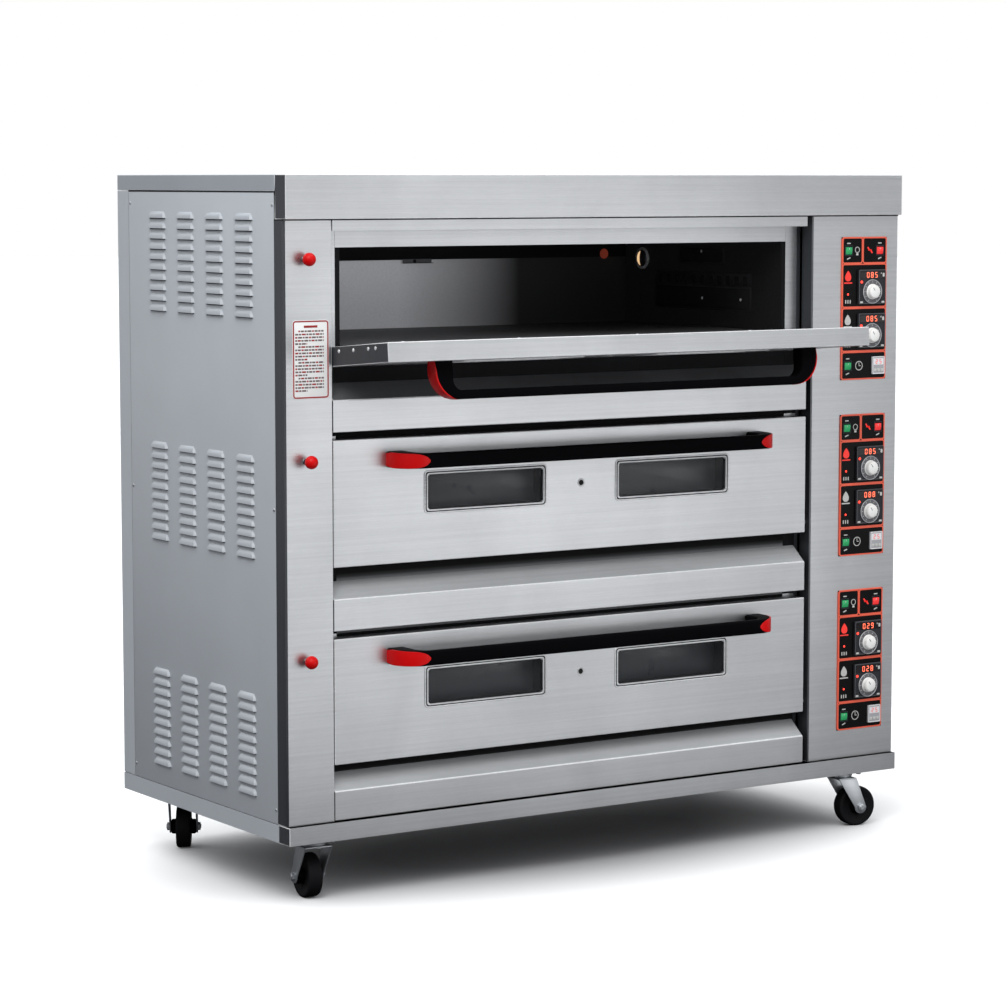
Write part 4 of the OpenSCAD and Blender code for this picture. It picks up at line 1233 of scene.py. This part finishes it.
def floor_finish():
    """White floor with a painted shadow under the oven. The light it bounces onto the oven is painted too:
    bright about a spot in front, dark around it, and bright again far off.
    """
    finish = painted("studio floor", FLOOR_WHITE, 0.7, grain=40, mottling=0.005)
    # Painted light in what the floor bounces: bright about a spot in front of the oven, dark around it.
    lit = floor_reach(finish, FLOOR_PAINTED_LIGHT_SPOT, 0.5, 2.3)
    near = blend_colour(finish, lit, FLOOR_BRIGHT, FLOOR_DARK, 0.0, 1.0)
    # Painted shadow: the floor's own colour darkens under the oven.
    under = floor_reach(finish, (0, 0, 0), 0.45, 1.15, squeeze=(1.0, 2.0, 1))
    connect(finish, "Base Color", blend_colour(finish, under, FLOOR_PAINTED_SHADOW, FLOOR_WHITE, 0.0, 1.0))
    bounced = put(finish, "Mix")
    bounced.data_type = "RGBA"
    nodes, links = finish.node_tree.nodes, finish.node_tree.links
    links.new(floor_reach(finish, (0, 0, 0), 6.0, 14.0), bounced.inputs["Factor"])
    links.new(near, bounced.inputs["A"])
    bounced.inputs["B"].default_value = (*FLOOR_BRIGHT, 1)
    dull = put(finish, "BsdfDiffuse", Color=bounced.outputs["Result"])
    seen = put(finish, "MixShader", Fac=put(finish, "LightPath").outputs["Is Camera Ray"])
    links.new(dull.outputs["BSDF"], seen.inputs[1])
    links.new(nodes["Principled BSDF"].outputs["BSDF"], seen.inputs[2])
    links.new(seen.outputs["Shader"], nodes["Material Output"].inputs["Surface"])
    return finish


def stage():
    bm = bmesh.new()
    bmesh.ops.create_circle(bm, cap_ends=True, segments=96, radius=60)
    mesh = bpy.data.meshes.new("floor")
    bm.to_mesh(mesh)
    bm.free()
    mesh.materials.append(floor_finish())
    floor = bpy.data.objects.new("floor", mesh)
    bpy.context.scene.collection.objects.link(floor)


def area_light(name, place, target, size, watts, colour=(1, 1, 1)):
    light = bpy.data.lights.new(name, "AREA")
    light.shape = "RECTANGLE"
    light.size, light.size_y = size
    light.energy = watts
    light.color = colour
    lamp = bpy.data.objects.new(name, light)
    lamp.location = place
    lamp.rotation_mode = "QUATERNION"
    lamp.rotation_quaternion = (Vector(target) - Vector(place)).to_track_quat("-Z", "Y")
    bpy.context.scene.collection.objects.link(lamp)


def studio():
    """White room: seen directly it is plain white, and the light it gives falls off to the right."""
    world = bpy.data.worlds.new("studio")
    world.use_nodes = True
    nodes, links = world.node_tree.nodes, world.node_tree.links
    axes = put(world, "SeparateXYZ", Vector=put(world, "TexCoord").outputs["Generated"])
    side = spread(world, axes.outputs["X"], 1.25, 0.6, 0.5, 0.95)
    up = spread(world, axes.outputs["Z"], 0.25, 1.4, 0.12, 0.7)
    both = put(world, "Math")
    both.operation = "MULTIPLY"
    links.new(side, both.inputs[0])
    links.new(up, both.inputs[1])
    room = nodes["Background"]
    room.inputs["Color"].default_value = (0.97, 0.985, 1.0, 1)
    links.new(both.outputs[0], room.inputs["Strength"])
    plain = put(world, "Background", Color=(1, 1, 1, 1))
    seen = put(world, "MixShader", Fac=put(world, "LightPath").outputs["Is Camera Ray"])
    links.new(room.outputs["Background"], seen.inputs[1])
    links.new(plain.outputs["Background"], seen.inputs[2])
    links.new(seen.outputs["Shader"], nodes["World Output"].inputs["Surface"])
    bpy.context.scene.world = world
    bpy.context.scene.view_settings.view_transform = "Standard"
    area_light("key", (-3.2, -3.0, 4.6), (-0.4, 0, 0.9), (2.4, 2.4), 130)
    area_light("front", (1.3, -3.7, 1.0), (0.0, -0.3, 0.8), (2.4, 1.7), 12.5)
    area_light("front_right", (2.7, -3.6, 0.5), (0.4, -0.3, 0.6), (0.8, 1.2), 4.5)
    area_light("overhead", (0.3, 0.2, 4.5), (0, 0, 0), (3.5, 2.5), 40)


def camera():
    data = bpy.data.cameras.new("camera")
    data.lens = 113.47
    data.sensor_width = 36
    seen = bpy.data.objects.new("camera", data)
    seen.location = at(-3380.1, -6066.2, 1471.2)
    seen.rotation_euler = (math.radians(90 - 5.81), 0, math.radians(-33.04))
    bpy.context.scene.collection.objects.link(seen)
    bpy.context.scene.camera = seen


stage()
studio()
camera()
